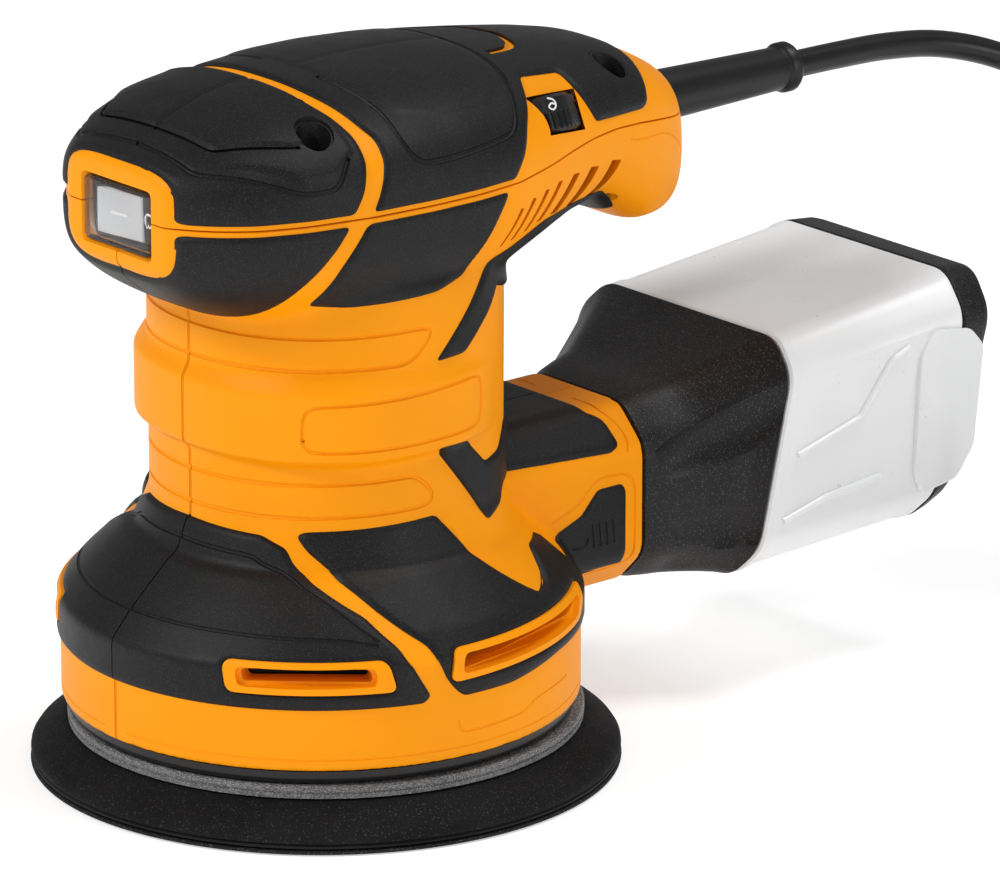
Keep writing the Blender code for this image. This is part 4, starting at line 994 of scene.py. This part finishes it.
def make_skins():
    def front_relief(points):
        return raised_area(FRONT_STEP, 0.5, 0.7)(points) + raised_area(FRONT_PLATEAU, 0.6, 0.7)(points)

    step = ((0.0, -47.2), (18.6, -47.6), (33.0, -30.0), (34.6, -22.9), (32.4, -18.6))
    plateau = ((0.0, -42.4), (17.8, -42.2), (27.4, -28.4), (27.6, -27.2))
    lines = []
    for _, sign in SIDES:
        for edge, radius in ((step, 0.62), (plateau, 0.6)):
            lines.append(([(sign * x, y, head_height(x, y)) for x, y in edge], radius))
    skin(
        "front", "top_grip_front", FRONT, 1.2, (-60.0, 60.0), relief=front_relief, paired=False,
        lines=lines,
    )
    loop = catmull(
        (
            (-17.3, -9.9, 150.3), (5.7, -7.6, 151.9), (18.0, -6.8, 150.2), (25.9, -5.6, 147.9),
            (33.3, -5.4, 142.8), (36.3, -3.4, 138.6), (36.9, 2.0, 138.0), (36.6, 9.4, 138.2),
            (35.4, 20.0, 139.0), (33.6, 24.6, 140.2), (24.4, 30.2, 146.9), (16.5, 31.9, 149.3),
            (0.0, 32.6, 150.2),
        ),
        5,
    )
    lines = [
        (loop[6:], 0.7), (loop[6:] * (-1, 1, 1), 0.7), ([(x, y, 149.0) for x, y in CHEVRON], 1.15, 0.35),
    ]
    skin(
        "palm", "top_grip_palm", PALM, 1.0, (-60.0, 60.0), relief=raised_area(PALM_PLATEAU, 0.22, 1.6),
        paired=False, lines=lines,
    )
    half = GAP / 2
    skin("side_front", "side_grip_front", SIDE_FRONT, 1.4, (half, 60.0))
    skin("side_mid", "side_grip_mid", SIDE_MID, 1.6, (12.0, 60.0))
    skin("strip", "handle_strip", STRIP, 1.2, (half, 60.0))
    skin("port", "port_grip", PORT_SKIN, 1.2, (half, 60.0))
    marks = [(((22, 56.4 + 1.9 * i, 39.4), (22, 55.8 + 1.9 * i, 44.6)), 0.4) for i in range(4)]
    marks.append((((22, 50.2, 40.4), (22, 54.8, 39.6), (22, 54.6, 42.0)), 0.4))
    skin("panel", "port_panel", PORT_PANEL, 1.0, (12.0, 60.0), lines=marks)
    arcs = (
        (ring_path(((-90.0, 56.2), (-62.0, 55.6), (-50.0, 53.2), (-36.0, 47.6), (-26.0, 42.0))), 0.5),
        (ring_path(((-90.0, 43.4), (-60.0, 43.2), (-34.0, 42.6), (-26.0, 41.2))), 0.5),
    )
    rims = [rounded_profile(rim, 2.0) for rim, _ in VENTS]
    skin("base_front", "base_grip_front", BASE_FRONT, 1.6, holes=rims[:1], lines=arcs)
    skin("base_side", "base_grip_side", BASE_SIDE, 1.6, holes=rims[1:])


# ---------------------------------------------------------------- switch, dial and screws

ROCKER_PIVOT = -46.5
ROCKER_TILT = math.radians(8.0)


def plate_rings(half_x, half_z, centre_z, rows, corner):
    """Rounded rectangles facing along Y, one for each (y, inset)."""
    rings = []
    for y, inset in rows:
        x, z = half_x - inset, half_z - inset
        low, high = centre_z - z, centre_z + z
        outline = rounded_profile(((x, low), (x, high), (-x, high), (-x, low)), max(corner - inset, 0.3), 5)
        rings.append([(a, y, b) for a, b in outline])
    return rings


def bar(name, low, high, bevel=0.25):
    """A small box with bevelled edges."""
    (x0, y0, z0), (x1, y1, z1) = low, high
    rings = []
    for y, inset in ((y0, bevel), (y0 + bevel, 0.0), (y1 - bevel, 0.0), (y1, bevel)):
        outline = (
            (x0 + inset, z0 + inset), (x1 - inset, z0 + inset), (x1 - inset, z1 - inset),
            (x0 + inset, z1 - inset),
        )
        rings.append([(x, y, z) for x, z in rounded_profile(outline, bevel, 2)])
    return loft(name, rings)


def make_switch():
    half_x, half_z = WINDOW_HALF[0] - GAP, WINDOW_HALF[1] - GAP
    rows = ((ROCKER_PIVOT + 1.2, 0.0), (-52.3, 0.0), (-52.75, 0.15), (-52.95, 0.5))
    boot = loft("switch_cover", plate_rings(half_x, half_z, WINDOW_Z, rows, 1.3))
    hollow = ((ROCKER_PIVOT + 3.0, 0.9), (-51.9, 0.9), (-52.2, 1.2))
    cut(boot, [loft("hollow", plate_rings(half_x, half_z, WINDOW_Z, hollow, 1.3))])
    finish(boot, BOOT, "housing", "switch_boot", slot="clear_boot")

    reach = half_x - 2.2
    tall = half_z - 1.3
    lean = math.tan(ROCKER_TILT)
    face = -53.0 + 1.9 + reach * lean
    outline = (
        (-reach, face - reach * lean), (-1.2, face - 0.12), (1.2, face - 0.12),
        (reach, face - reach * lean), (reach, ROCKER_PIVOT), (-reach, ROCKER_PIVOT),
    )
    rings = []
    for z, inset in ((-tall, 0.35), (0.35 - tall, 0.0), (tall - 0.35, 0.0), (tall, 0.35)):
        ring = []
        for x, y in rounded_profile(outline, 0.5, 3):
            ring.append((x * (1 - inset / reach), y + (inset if y < ROCKER_PIVOT else 0.0), WINDOW_Z + z))
        rings.append(ring)
    rocker = loft("rocker", rings)
    turn = moved(0, ROCKER_PIVOT, 0) @ Matrix.Rotation(ROCKER_TILT, 4, "Z") @ moved(0, -ROCKER_PIVOT, 0)

    def on_rocker(obj):
        obj.data.transform(turn)
        return obj

    pad_face = face - reach * lean
    finish(on_rocker(rocker), SMOOTH_BLACK, "switch", "switch_rocker", slot="switch_black", angle=30)
    # A pale grey panel over most of the rocker's face: a painted reflection of a softbox in the black
    # rocker.
    low = (-reach + 0.4, pad_face + 0.1, WINDOW_Z - tall + 0.5)
    high = (reach - 3.4, pad_face + 1.7, WINDOW_Z + tall - 0.5)
    panel = bar("rocker_painted_reflection", low, high, 0.3)
    finish(on_rocker(panel), PAINTED_REFLECTION, "switch", angle=30)
    low = (-reach + 4.4, pad_face - 0.08, WINDOW_Z - 0.35)
    high = (reach - 7.4, pad_face + 0.6, WINDOW_Z + 0.35)
    dash = bar("rocker_dash", low, high, 0.08)
    finish(on_rocker(dash), MARK, "switch")
    ring = turned("rocker_ring", ((1.3, -0.15), (1.3, 0.15), (0.95, 0.15), (0.95, -0.15)), 32, ring=True)
    tall_ring = Matrix.Rotation(math.radians(-7.0), 4, "Z") @ Matrix.Diagonal((1, 1, 1.25, 1)) @ ALONG_Y
    ring.data.transform(moved(reach - 1.75, pad_face + 0.3, WINDOW_Z) @ tall_ring)
    finish(on_rocker(ring), MARK, "switch")


def make_dial():
    """A thumb wheel: ribs round the lower half of its rim and raised figures round the upper half."""
    radius, half = DIAL_RADIUS, 4.0
    steps = 384
    angles = np.arange(steps) * 2 * math.pi / steps
    knurl = 0.32 * (1 - np.cos(angles * 48)) ** 2 / 2
    rows = (
        (-half, 1.2, 0.0), (-3.4, 0.2, 0.5), (-3.0, 0.0, 1.0), (0.1, 0.0, 1.0), (0.5, 0.2, 0.0),
        (3.3, 0.3, 0.0), (half, 1.3, 0.0),
    )
    dial = loft(
        "dial_wheel", [circle(radius - inset - share * knurl, z, steps) for z, inset, share in rows],
    )
    dial.data.transform(DIAL)
    finish(dial, SMOOTH_BLACK, "dial", "speed_dial", slot="dial_black", angle=25)
    figures = (
        ((0.0, -1.0), (0.0, 1.0)),
        ((-0.6, 0.6), (0.0, 1.0), (0.6, 0.6), (-0.6, -1.0), (0.6, -1.0)),
        ((-0.6, 1.0), (0.6, 1.0), (0.0, 0.2), (0.6, -0.3), (0.0, -1.0), (-0.6, -0.8)),
        ((0.3, -1.0), (0.3, 1.0), (-0.6, -0.4), (0.7, -0.4)),
        ((0.6, 1.0), (-0.5, 1.0), (-0.5, 0.1), (0.3, 0.2), (0.6, -0.4), (0.0, -1.0), (-0.6, -0.8)),
        ((0.5, 1.0), (-0.4, 0.5), (-0.6, -0.4), (0.0, -1.0), (0.6, -0.5), (0.1, 0.05), (-0.5, -0.25)),
    )
    for i, strokes in enumerate(figures):
        turn = math.radians(60.0 * (i + 1) - 1.0)
        path = []
        for across_rim, along in catmull(strokes, 5) if len(strokes) > 2 else strokes:
            around_rim = turn - across_rim * 1.6 / radius
            reach = radius - 0.24
            path.append((reach * math.cos(around_rim), reach * math.sin(around_rim), 2.0 + along * 1.3))
        figure = sweep("dial_figure_%d" % (i + 1), path, 0.2, 6)
        figure.data.transform(DIAL)
        finish(figure, MARK, "dial")


def make_screw(name, x, y, seat):
    """A pan-head screw with a six-lobed recess and a threaded shank."""
    profile = [
        (0.6, seat + 2.95), (2.0, seat + 2.95), (2.9, seat + 2.6), (3.4, seat + 1.8), (3.4, seat + 0.45),
        (3.2, seat + GAP), (1.8, seat + GAP),
    ]
    z = seat - 0.8
    while z > seat - 20.5:
        profile += [(1.75, z), (1.35, z - 0.5)]
        z -= 1.0
    profile += [(1.3, seat - 21.0), (0.3, seat - 21.95)]
    screw = turned(name, profile, 40, matrix=moved(x, y, 0))
    steps = 72
    angles = np.arange(steps) * 2 * math.pi / steps
    lobes = 1.35 + 0.28 * np.cos(angles * 6)
    cut(screw, [loft("recess", [circle(lobes, z, steps, x, y) for z in (seat + 1.4, seat + 4.0)])])
    return screw


def make_screws():
    for row, side, x, y, seat in screw_places():
        place = "screw_%s_%s" % (row, side)
        screw = make_screw(place, x, y, seat)
        finish(screw, STEEL, "housing", "housing_" + place, slot="bright_steel", angle=30)


# ---------------------------------------------------------------- sleeve


def make_sleeve():
    """The cord's bend sleeve: a long taper with a bead at its end."""
    profile = [(5.2, 131.0), (5.5, 130.5), (5.5, 128.6), (5.2, 128.0), (4.75, 127.6)]
    y = 127.0
    while y > 94.0:
        profile.append((4.75 + 1.05 * (127.6 - y) / 39.6, y))
        y -= 3.0
    profile += [(5.8, 88.0), (5.8, 84.2), (5.6, 84.0), (4.0, 84.0), (4.0, 66.2), (3.8, 66.0)]
    sleeve = turned("bend_sleeve", profile, 72, matrix=ON_SLEEVE)
    mouth = turned("mouth", ((3.15, 130.75), (3.7, 131.5)), 48, matrix=ON_SLEEVE)
    cut(sleeve, [mouth])
    finish(sleeve, SLEEVE, "housing", "cable_sleeve", slot="sleeve_rubber", angle=30)


# ---------------------------------------------------------------- dust box

BOX_START = PORT_END + GAP
BOX_FRAMES = (
    (0.0, 0.0, 26.8, 67.2, 21.8, 8.0),
    (8.5, 12.5, 26.5, 69.5, 25.7, 9.0),
    (20.5, 32.5, 26.6, 78.1, 34.3, 7.0),
    (71.5, 82.5, 28.3, 83.0, 34.7, 8.0),
    (76.1, 91.9, 29.2, 82.2, 34.4, 8.0),
)


def box_ring(frame_row, grow=0.0, shift=0.0):
    """A slanted eight-sided section of the dust box from (low y, high y, low z, high z, half, chamfer)."""
    y_low, y_high, low, high, half, chamfer = frame_row
    slope = (y_high - y_low) / (high - low)
    y = BOX_START + y_low + shift - grow * slope
    return octagon(y, half + grow, low - grow, high + grow, chamfer + 0.4 * grow, slope, 3.8, 7)


def between(first, last, share):
    return tuple(a + (b - a) * share for a, b in zip(first, last))


def box_shell(name, rows, wall, open_last=True):
    """A hollow loft: rows of (frame, grow, shift), open at its front and, if wanted, at its rear."""
    outer = loft(name, [box_ring(row, grow, shift) for row, grow, shift in rows])
    inner = []
    for i, (row, grow, shift) in enumerate(rows):
        past = -2.0 if i == 0 else 0.0
        if i == len(rows) - 1:
            past = 2.0 if open_last else -wall
        inner.append(box_ring(row, grow - wall, shift + past))
    return cut(outer, [loft("hollow", inner)])


CANISTER_TAB = (
    (143.0, 73.5), (153.5, 72.0), (157.5, 67.5), (155.0, 45.0), (150.0, 38.5), (140.0, 37.0),
    (137.5, 42.0), (139.0, 68.0),
)
CANISTER_RIBS = (
    ((104.0, 53.0), (122.0, 58.0), (131.0, 69.0), (136.0, 71.0)),
    ((100.0, 39.0), (112.0, 42.0), (128.0, 43.5)),
    ((141.0, 64.0), (140.0, 46.0)),
)


# Hollows in the adapter's sides: a route and a radius for each of its points.
ADAPTER_SCOOPS = (
    (
        (
            (26.2, 73.4, 54.0), (29.2, 80.2, 57.0), (35.0, 87.7, 61.0), (39.3, 93.2, 66.0),
            (42.4, 95.6, 70.0),
        ),
        (5.0, 7.0, 9.0, 9.5, 9.0),
    ),
    (
        ((30.0, 73.4, 38.0), (35.4, 80.0, 38.5), (39.0, 84.4, 39.5), (42.6, 86.6, 41.0)),
        (8.0, 11.0, 11.0, 11.0),
    ),
)


def tab_plate(name, outline, sign):
    """A bevelled plate standing off a side face by a millimetre and a half."""
    flat = rounded_profile(outline, 1.6)
    centre = np.mean(flat, axis=0)
    rings = []
    for x, share in ((34.95, 1.0), (35.2, 1.0), (35.4, 0.985), (35.5, 0.965)):
        rings.append([(sign * x, *(centre + (np.array(p) - centre) * share)) for p in flat])
    foot = []
    for x in (33.6, 35.1):
        foot.append([(sign * x, min(y, 149.0), z) for _, y, z in rings[0]])
    return cut(loft(name, rings), [loft("tab_foot", foot)], "UNION")


def make_dust_box():
    f = BOX_FRAMES
    rows = [(f[0], -0.7, 0.0), (f[0], -0.15, 0.35), (f[0], 0.0, 1.0)]
    for share in (0.25, 0.5, 0.75):
        rows.append((between(f[0], f[1], share), 0.5 * (share - share**2), 0.0))
    rows.append((f[1], 0.0, 0.0))
    for share in (0.2, 0.4, 0.6, 0.8):
        rows.append((between(f[1], f[2], share), -1.1 * (share - share**2), 0.0))
    rows += [(f[2], -0.05, -0.9), (f[2], -0.3, -0.35), (f[2], -0.8, 0.0)]
    adapter = box_shell("adapter", rows, 3.6)
    outer = [port_ring(y, grow, 2.0) for y, grow in ((53.2, -3.1), (53.8, -2.8), (73.2, -2.8))]
    bore = [port_ring(y, -4.8, 2.0) for y in (52.2, 77.2)]
    flange = [octagon(y, 21.0, 27.6, 66.4, 7.7, round_off=2.0) for y in (71.9, 74.5)]
    cut(adapter, [loft("spigot", outer), loft("flange", flange)], "UNION")
    cut(adapter, [loft("spigot_bore", bore)])
    for _, sign in SIDES:
        for route, radii in ADAPTER_SCOOPS:
            path = catmull(route, 8) * (sign, 1, 1)
            radius = np.interp(np.arange(len(path)) / 8, range(len(radii)), radii)
            cut(adapter, [sweep("scoop", path, radius, 40)])
    finish(adapter, COARSE, "dust_box", "dust_adapter", slot="black_plastic", angle=35)

    rows = [(f[2], -0.5, GAP), (f[2], 0.0, GAP + 0.5)]
    for share in (0.02, 0.045):
        rows.append((between(f[2], f[3], share), 0.0, GAP + 0.3))
    rows += [
        (between(f[2], f[3], 0.055), -0.35, GAP + 0.3), (between(f[2], f[3], 0.07), -0.35, GAP),
        (between(f[2], f[3], 0.95), -0.35, 0.0),
    ]
    rows += [(between(f[2], f[3], 0.965), 0.0, 0.0), (f[3], 0.0, -0.4), (f[3], -0.5, 0.0)]
    canister = box_shell("canister", rows, 2.0)
    for _, sign in SIDES:
        cut(canister, [tab_plate("tab", CANISTER_TAB, sign)], "UNION")
        for path in CANISTER_RIBS:
            line = [(sign * (34.35 + 0.35 * (y - 104.0) / 39.0), y, z) for y, z in resampled(path, 1.0)]
            cut(canister, [sweep("rib", line, 0.75, 10)], "UNION")
    finish(canister, FROST, "dust_box", "dust_canister", slot="frosted_clear", angle=35)

    rows = [
        (f[3], -0.5, GAP), (f[3], 0.0, GAP + 0.4), (between(f[3], f[4], 0.75), 0.0, 0.0),
        (between(f[3], f[4], 0.92), -0.35, 0.0), (f[4], -1.3, 0.0),
    ]
    cap = box_shell("cap", rows, 2.0, open_last=False)
    finish(cap, COARSE, "dust_cap", "dust_cap", slot="black_plastic", angle=35)


def make_box_frame():
    """The ribbed frame inside the clear canister that holds the paper."""
    f = BOX_FRAMES
    thick = 1.2
    for share in (0.16, 0.84):
        middle = between(f[2], f[3], share)
        outer = [box_ring(middle, -2.6, shift) for shift in (-thick, thick)]
        inner = [box_ring(middle, -6.2, shift) for shift in (-thick - 1, thick + 1)]
        hoop = cut(loft("frame_hoop", outer), [loft("hoop_hollow", inner)])
        finish(hoop, LINER, "dust_box", angle=35)
    first, last = between(f[2], f[3], 0.14), between(f[2], f[3], 0.86)
    for side in (1, -1):
        for height in (-14.0, 0.0, 14.0):
            middle = 0.5 * (first[2] + first[3]) + height
            slope = (first[1] - first[0]) / (first[3] - first[2])
            y0 = BOX_START + first[0] + slope * (middle - first[2])
            y1 = BOX_START + last[0] + slope * (middle - last[2])
            x = first[4] - 5.2
            low = (min(side * x, side * (x - 2.0)), y0, middle - 1.4)
            high = (max(side * x, side * (x - 2.0)), y1, middle + 1.4)
            finish(bar("frame_rail", low, high, 0.4), LINER, "dust_box")


# ---------------------------------------------------------------- pad


ORBIT = 1.25
HOLE_CIRCLE = 32.5
HOLE_RADIUS = 5.0
PAD_STEPS = 288


def dust_holes(low, high):
    holes = []
    for i in range(8):
        a = math.radians(45.0 * (i + 0.5))
        centre = moved(HOLE_CIRCLE * math.cos(a), ORBIT + HOLE_CIRCLE * math.sin(a), 0)
        holes.append(turned("dust_hole", ((HOLE_RADIUS, low), (HOLE_RADIUS, high)), 40, matrix=centre))
    return holes


def make_pad():
    axis = moved(0, ORBIT, 0)
    well = ((9.0, 0.5), (9.0, 12.0))
    rows = ((62.0, 0.0), (62.45, 0.2), (62.5, 0.45), (62.3, 0.8), (62.0, 0.9))
    disc = turned("sanding_disc", rows, PAD_STEPS, matrix=axis)
    cut(disc, dust_holes(-2.0, 4.0))
    finish(disc, GRIT, "pad", "abrasive_disc", slot="abrasive", angle=30)
    hook = turned(
        "hook_sheet", ((61.7, 1.2), (62.2, 1.4), (62.2, 1.7), (61.7, 1.9)), PAD_STEPS, matrix=axis,
    )
    cut(hook, [*dust_holes(0.0, 4.0), turned("well", well, 48, matrix=axis)])
    finish(hook, HOOK, "pad", "hook_layer", slot="hook", angle=30)
    rows = (
        (61.6, 2.2), (62.2, 2.35), (62.4, 2.9), (62.3, 3.6), (61.7, 4.5), (60.6, 5.4), (58.4, 7.0),
        (56.0, 8.4), (55.0, 8.9), (54.2, 9.0),
    )
    foam = turned("foam_body", rows, PAD_STEPS, matrix=axis)
    cut(foam, [*dust_holes(0.0, 12.0), turned("well", well, 48, matrix=axis)])
    finish(foam, FOAM, "pad", "foam_pad", slot="foam", angle=30)
    rows = (
        (53.9, 9.3), (54.5, 9.5), (54.6, 10.4), (54.2, 10.6), (54.2, 10.9), (54.6, 11.1), (54.6, 11.9),
        (54.2, 12.2), (8.2, 12.2), (8.0, 12.5), (8.0, 15.4), (7.7, 15.6), (4.7, 15.6), (4.7, 23.2),
        (4.5, 23.4),
    )
    backing = turned("backing_disc", rows, 144, matrix=axis)
    cut(backing, [*dust_holes(7.0, 14.0), turned("stud_bore", ((2.9, 7.0), (2.9, 30.0)), 40, matrix=axis)])
    finish(backing, BACKING, "pad", "backing_plate", slot="backing", angle=30)
    head = ((6.0, 5.8), (6.5, 6.3), (6.5, 8.6), (6.2, 9.0), (2.6, 9.0), (2.6, 23.0), (2.3, 23.4))
    screw = turned("pad_bolt", head, 48, matrix=axis)
    cut(screw, [turned("socket", ((2.9, 3.0), (2.9, 8.0)), 6, matrix=axis)])
    finish(screw, STEEL, "pad", "pad_screw", slot="bright_steel", angle=30)


def make_brake():
    rows = (
        (53.5, 15.3), (53.5, 13.9), (53.3, 13.4), (52.9, 12.8), (52.4, 12.5), (48.2, 12.5), (47.8, 12.9),
        (47.8, 15.3),
    )
    lip = turned("brake_lip", rows, 144, ring=True)
    finish(lip, SMOOTH_BLACK, "housing", "brake_ring", slot="brake_rubber", angle=30)


# ---------------------------------------------------------------- plug


def make_plug():
    """A two-pin plug with a ribbed grip, riding the cord."""
    centre_x, nose, height = 142.0, 148.65, 9.0
    stations = [(0.0, 3.3, 3.3, 2.0), (0.4, 3.6, 3.6, 2.0)]
    for i in range(5):
        for along, radius in ((0.0, 3.7), (0.3, 3.2), (0.9, 3.2), (1.2, 3.75)):
            radius += 0.1 * i
            stations.append((1.4 + 1.8 * i + along, radius, radius, 2.0))
    stations += [
        (11.4, 4.8, 4.6, 2.2), (13.0, 7.5, 6.5, 2.6), (15.0, 9.4, 7.6, 2.8), (18.0, 11.2, 8.4, 3.0),
        (22.0, 12.5, 8.8, 3.0),
    ]
    for i in range(6):
        for along, deep in ((0.0, 0.0), (0.4, 0.45), (1.0, 0.45), (1.4, 0.0)):
            stations.append((25.0 + 2.4 * i + along, 12.75 - deep, 8.8 - deep, 3.0))
    stations += [
        (44.0, 13.0, 8.8, 3.0), (45.6, 12.6, 8.4, 3.0), (46.6, 11.9, 7.8, 3.0), (47.0, 11.3, 7.3, 3.0),
    ]
    rings = []
    for reach, half, tall, power in stations:
        c, s, _ = superellipse(64, power)
        rings.append(np.column_stack((centre_x + half * c, np.full(64, nose - reach), height + tall * s)))
    body = loft("plug_body", rings)
    finish(body, SLEEVE, "housing", "plug", slot="plug_black", angle=30)
    pieces = [body]
    for side in (1, -1):
        profile = ((2.4, 1.0), (2.4, 10.0), (2.35, 10.1), (2.35, 18.4), (2.0, 19.4), (1.2, 19.95))
        place = moved(centre_x + side * 9.0, nose - 46.0, height) @ Matrix.Rotation(math.pi / 2, 4, "X")
        pin = turned("plug_pin", profile, 40, matrix=place)
        pieces.append(finish(pin, STEEL, "housing", angle=30))
    return pieces


# ---------------------------------------------------------------- cord

CORD_DIAMETER = 6.0
COIL_CENTRE = (100.0, 174.0)
COIL_RADII = (42.0, 36.0, 30.0, 24.0)
COIL_ENTRY = 75.0
CORD_ROUTE = (
    (0.0, 131.3, 127.5), (0.1, 146.0, 127.4), (0.6, 160.0, 127.0), (2.4, 174.0, 125.4),
    (6.8, 187.0, 121.5), (14.0, 199.0, 114.6), (23.5, 209.5, 104.6), (33.5, 217.5, 91.5),
    (43.0, 222.5, 76.5), (51.0, 225.5, 60.5), (58.0, 227.0, 45.0), (64.5, 227.2, 31.0),
    (70.5, 226.2, 19.5), (76.2, 224.4, 10.5), (82.0, 222.5, 5.2), (87.7, 220.8, 3.2),
)


def coil_points():
    """The coil's turns, clockwise: inwards on the floor, up one layer, outwards again."""
    step = 7.5
    per_turn = int(360 / step)
    half = CORD_DIAMETER / 2
    turns = [(r, half) for r in COIL_RADII] + [(r, 3 * half) for r in reversed(COIL_RADII)]
    points = []
    last = len(turns) * per_turn + int(COIL_ENTRY / step)
    for i in range(last + 1):
        turn = min(i // per_turn, len(turns) - 1)
        radius, height = turns[turn]
        share = i / per_turn - turn
        if turn < len(turns) - 1 and share > 0.8:
            ease = (share - 0.8) / 0.2
            ease = ease * ease * (3 - 2 * ease)
            radius += (turns[turn + 1][0] - radius) * ease
            height += (turns[turn + 1][1] - height) * ease
        angle = math.radians(COIL_ENTRY - i * step)
        points.append(
            (COIL_CENTRE[0] + radius * math.cos(angle), COIL_CENTRE[1] + radius * math.sin(angle), height)
        )
    return points


def make_cord(pieces):
    route = list(catmull(CORD_ROUTE, 5))
    coil = coil_points()
    plug_nose = (COIL_CENTRE[0] + COIL_RADII[0], 148.9, 1.5 * CORD_DIAMETER)
    points = [*route, *coil, plug_nose]
    curve = bpy.data.curves.new("mains_cord", "CURVE")
    curve.dimensions = "3D"
    curve.bevel_depth = 1.0
    curve.bevel_resolution = 5
    curve.use_fill_caps = True
    spline = curve.splines.new("POLY")
    spline.points.add(len(points) - 1)
    for slot, point in zip(spline.points, points):
        slot.co = (*(Vector(point) * MM), 1.0)
        slot.radius = CORD_DIAMETER / 2 * MM
    cord = bpy.data.objects.new("mains_cord", curve)
    bpy.context.scene.collection.objects.link(cord)
    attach(cord, "housing")
    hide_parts("power_cord", "cord_coil")
    curve.materials.append(CORD)


# ---------------------------------------------------------------- camera, lights and floor

VIEW_TARGET = Vector((0.0569, 0.00125, 0.0839))
VIEW_DIRECTION = Vector((0.72661, -0.61512, 0.30603))
VIEW_DISTANCE = 1.742
LENS = 307.6


def make_camera():
    data = bpy.data.cameras.new("camera")
    data.lens = LENS
    data.sensor_width = 36.0
    data.clip_end = 20.0
    camera = bpy.data.objects.new("camera", data)
    bpy.context.scene.collection.objects.link(camera)
    camera.location = VIEW_TARGET + VIEW_DIRECTION * VIEW_DISTANCE
    camera.rotation_euler = (-VIEW_DIRECTION).to_track_quat("-Z", "Y").to_euler()
    bpy.context.scene.camera = camera


def add_light(name, place, size, energy):
    data = bpy.data.lights.new(name, "AREA")
    data.shape = "RECTANGLE"
    data.size, data.size_y = size
    data.energy = energy
    light = bpy.data.objects.new(name, data)
    bpy.context.scene.collection.objects.link(light)
    light.location = place
    light.rotation_euler = (VIEW_TARGET - Vector(place)).to_track_quat("-Z", "Y").to_euler()


def make_studio():
    corners = ((-6000, -6000), (6000, -6000), (6000, 6000), (-6000, 6000))
    floor = loft("floor", [[(x, y, z) for x, y in corners] for z in (-40.0, -0.2)])
    pale = material(
        "floor", (0.8, 0.8, 0.8), 0.85, grain=0.05, grain_size=3.0, mottle=0.003, specular=0.1, glow=0.5,
    )
    floor.data.materials.append(pale)
    world = bpy.data.worlds.new("studio")
    world.use_nodes = True
    world.node_tree.nodes["Background"].inputs["Color"].default_value = (1.0, 1.0, 1.0, 1.0)
    world.node_tree.nodes["Background"].inputs["Strength"].default_value = 0.3
    bpy.context.scene.world = world
    bpy.context.scene.view_settings.view_transform = "Standard"
    add_light("key", (-0.25, -1.25, 1.2), (0.5, 0.35), 14.0)
    add_light("top", (0.35, 0.5, 1.5), (0.5, 0.5), 9.0)
    add_light("side", (1.6, 0.5, 0.55), (0.5, 0.6), 5.5)
    add_light("front", (0.95, -1.25, 0.2), (0.35, 0.2), 1.6)


make_camera()
make_studio()
dress_carried_nodes()
make_cord(make_plug())
make_shells()
make_vent_shade_sheets()
make_skins()
make_well_cups()
make_switch()
make_dial()
make_screws()
make_sleeve()
make_dust_box()
make_box_frame()
make_pad()
make_brake()
for spare in (SURFACE, LAYER):
    bpy.data.objects.remove(spare, do_unlink=True)
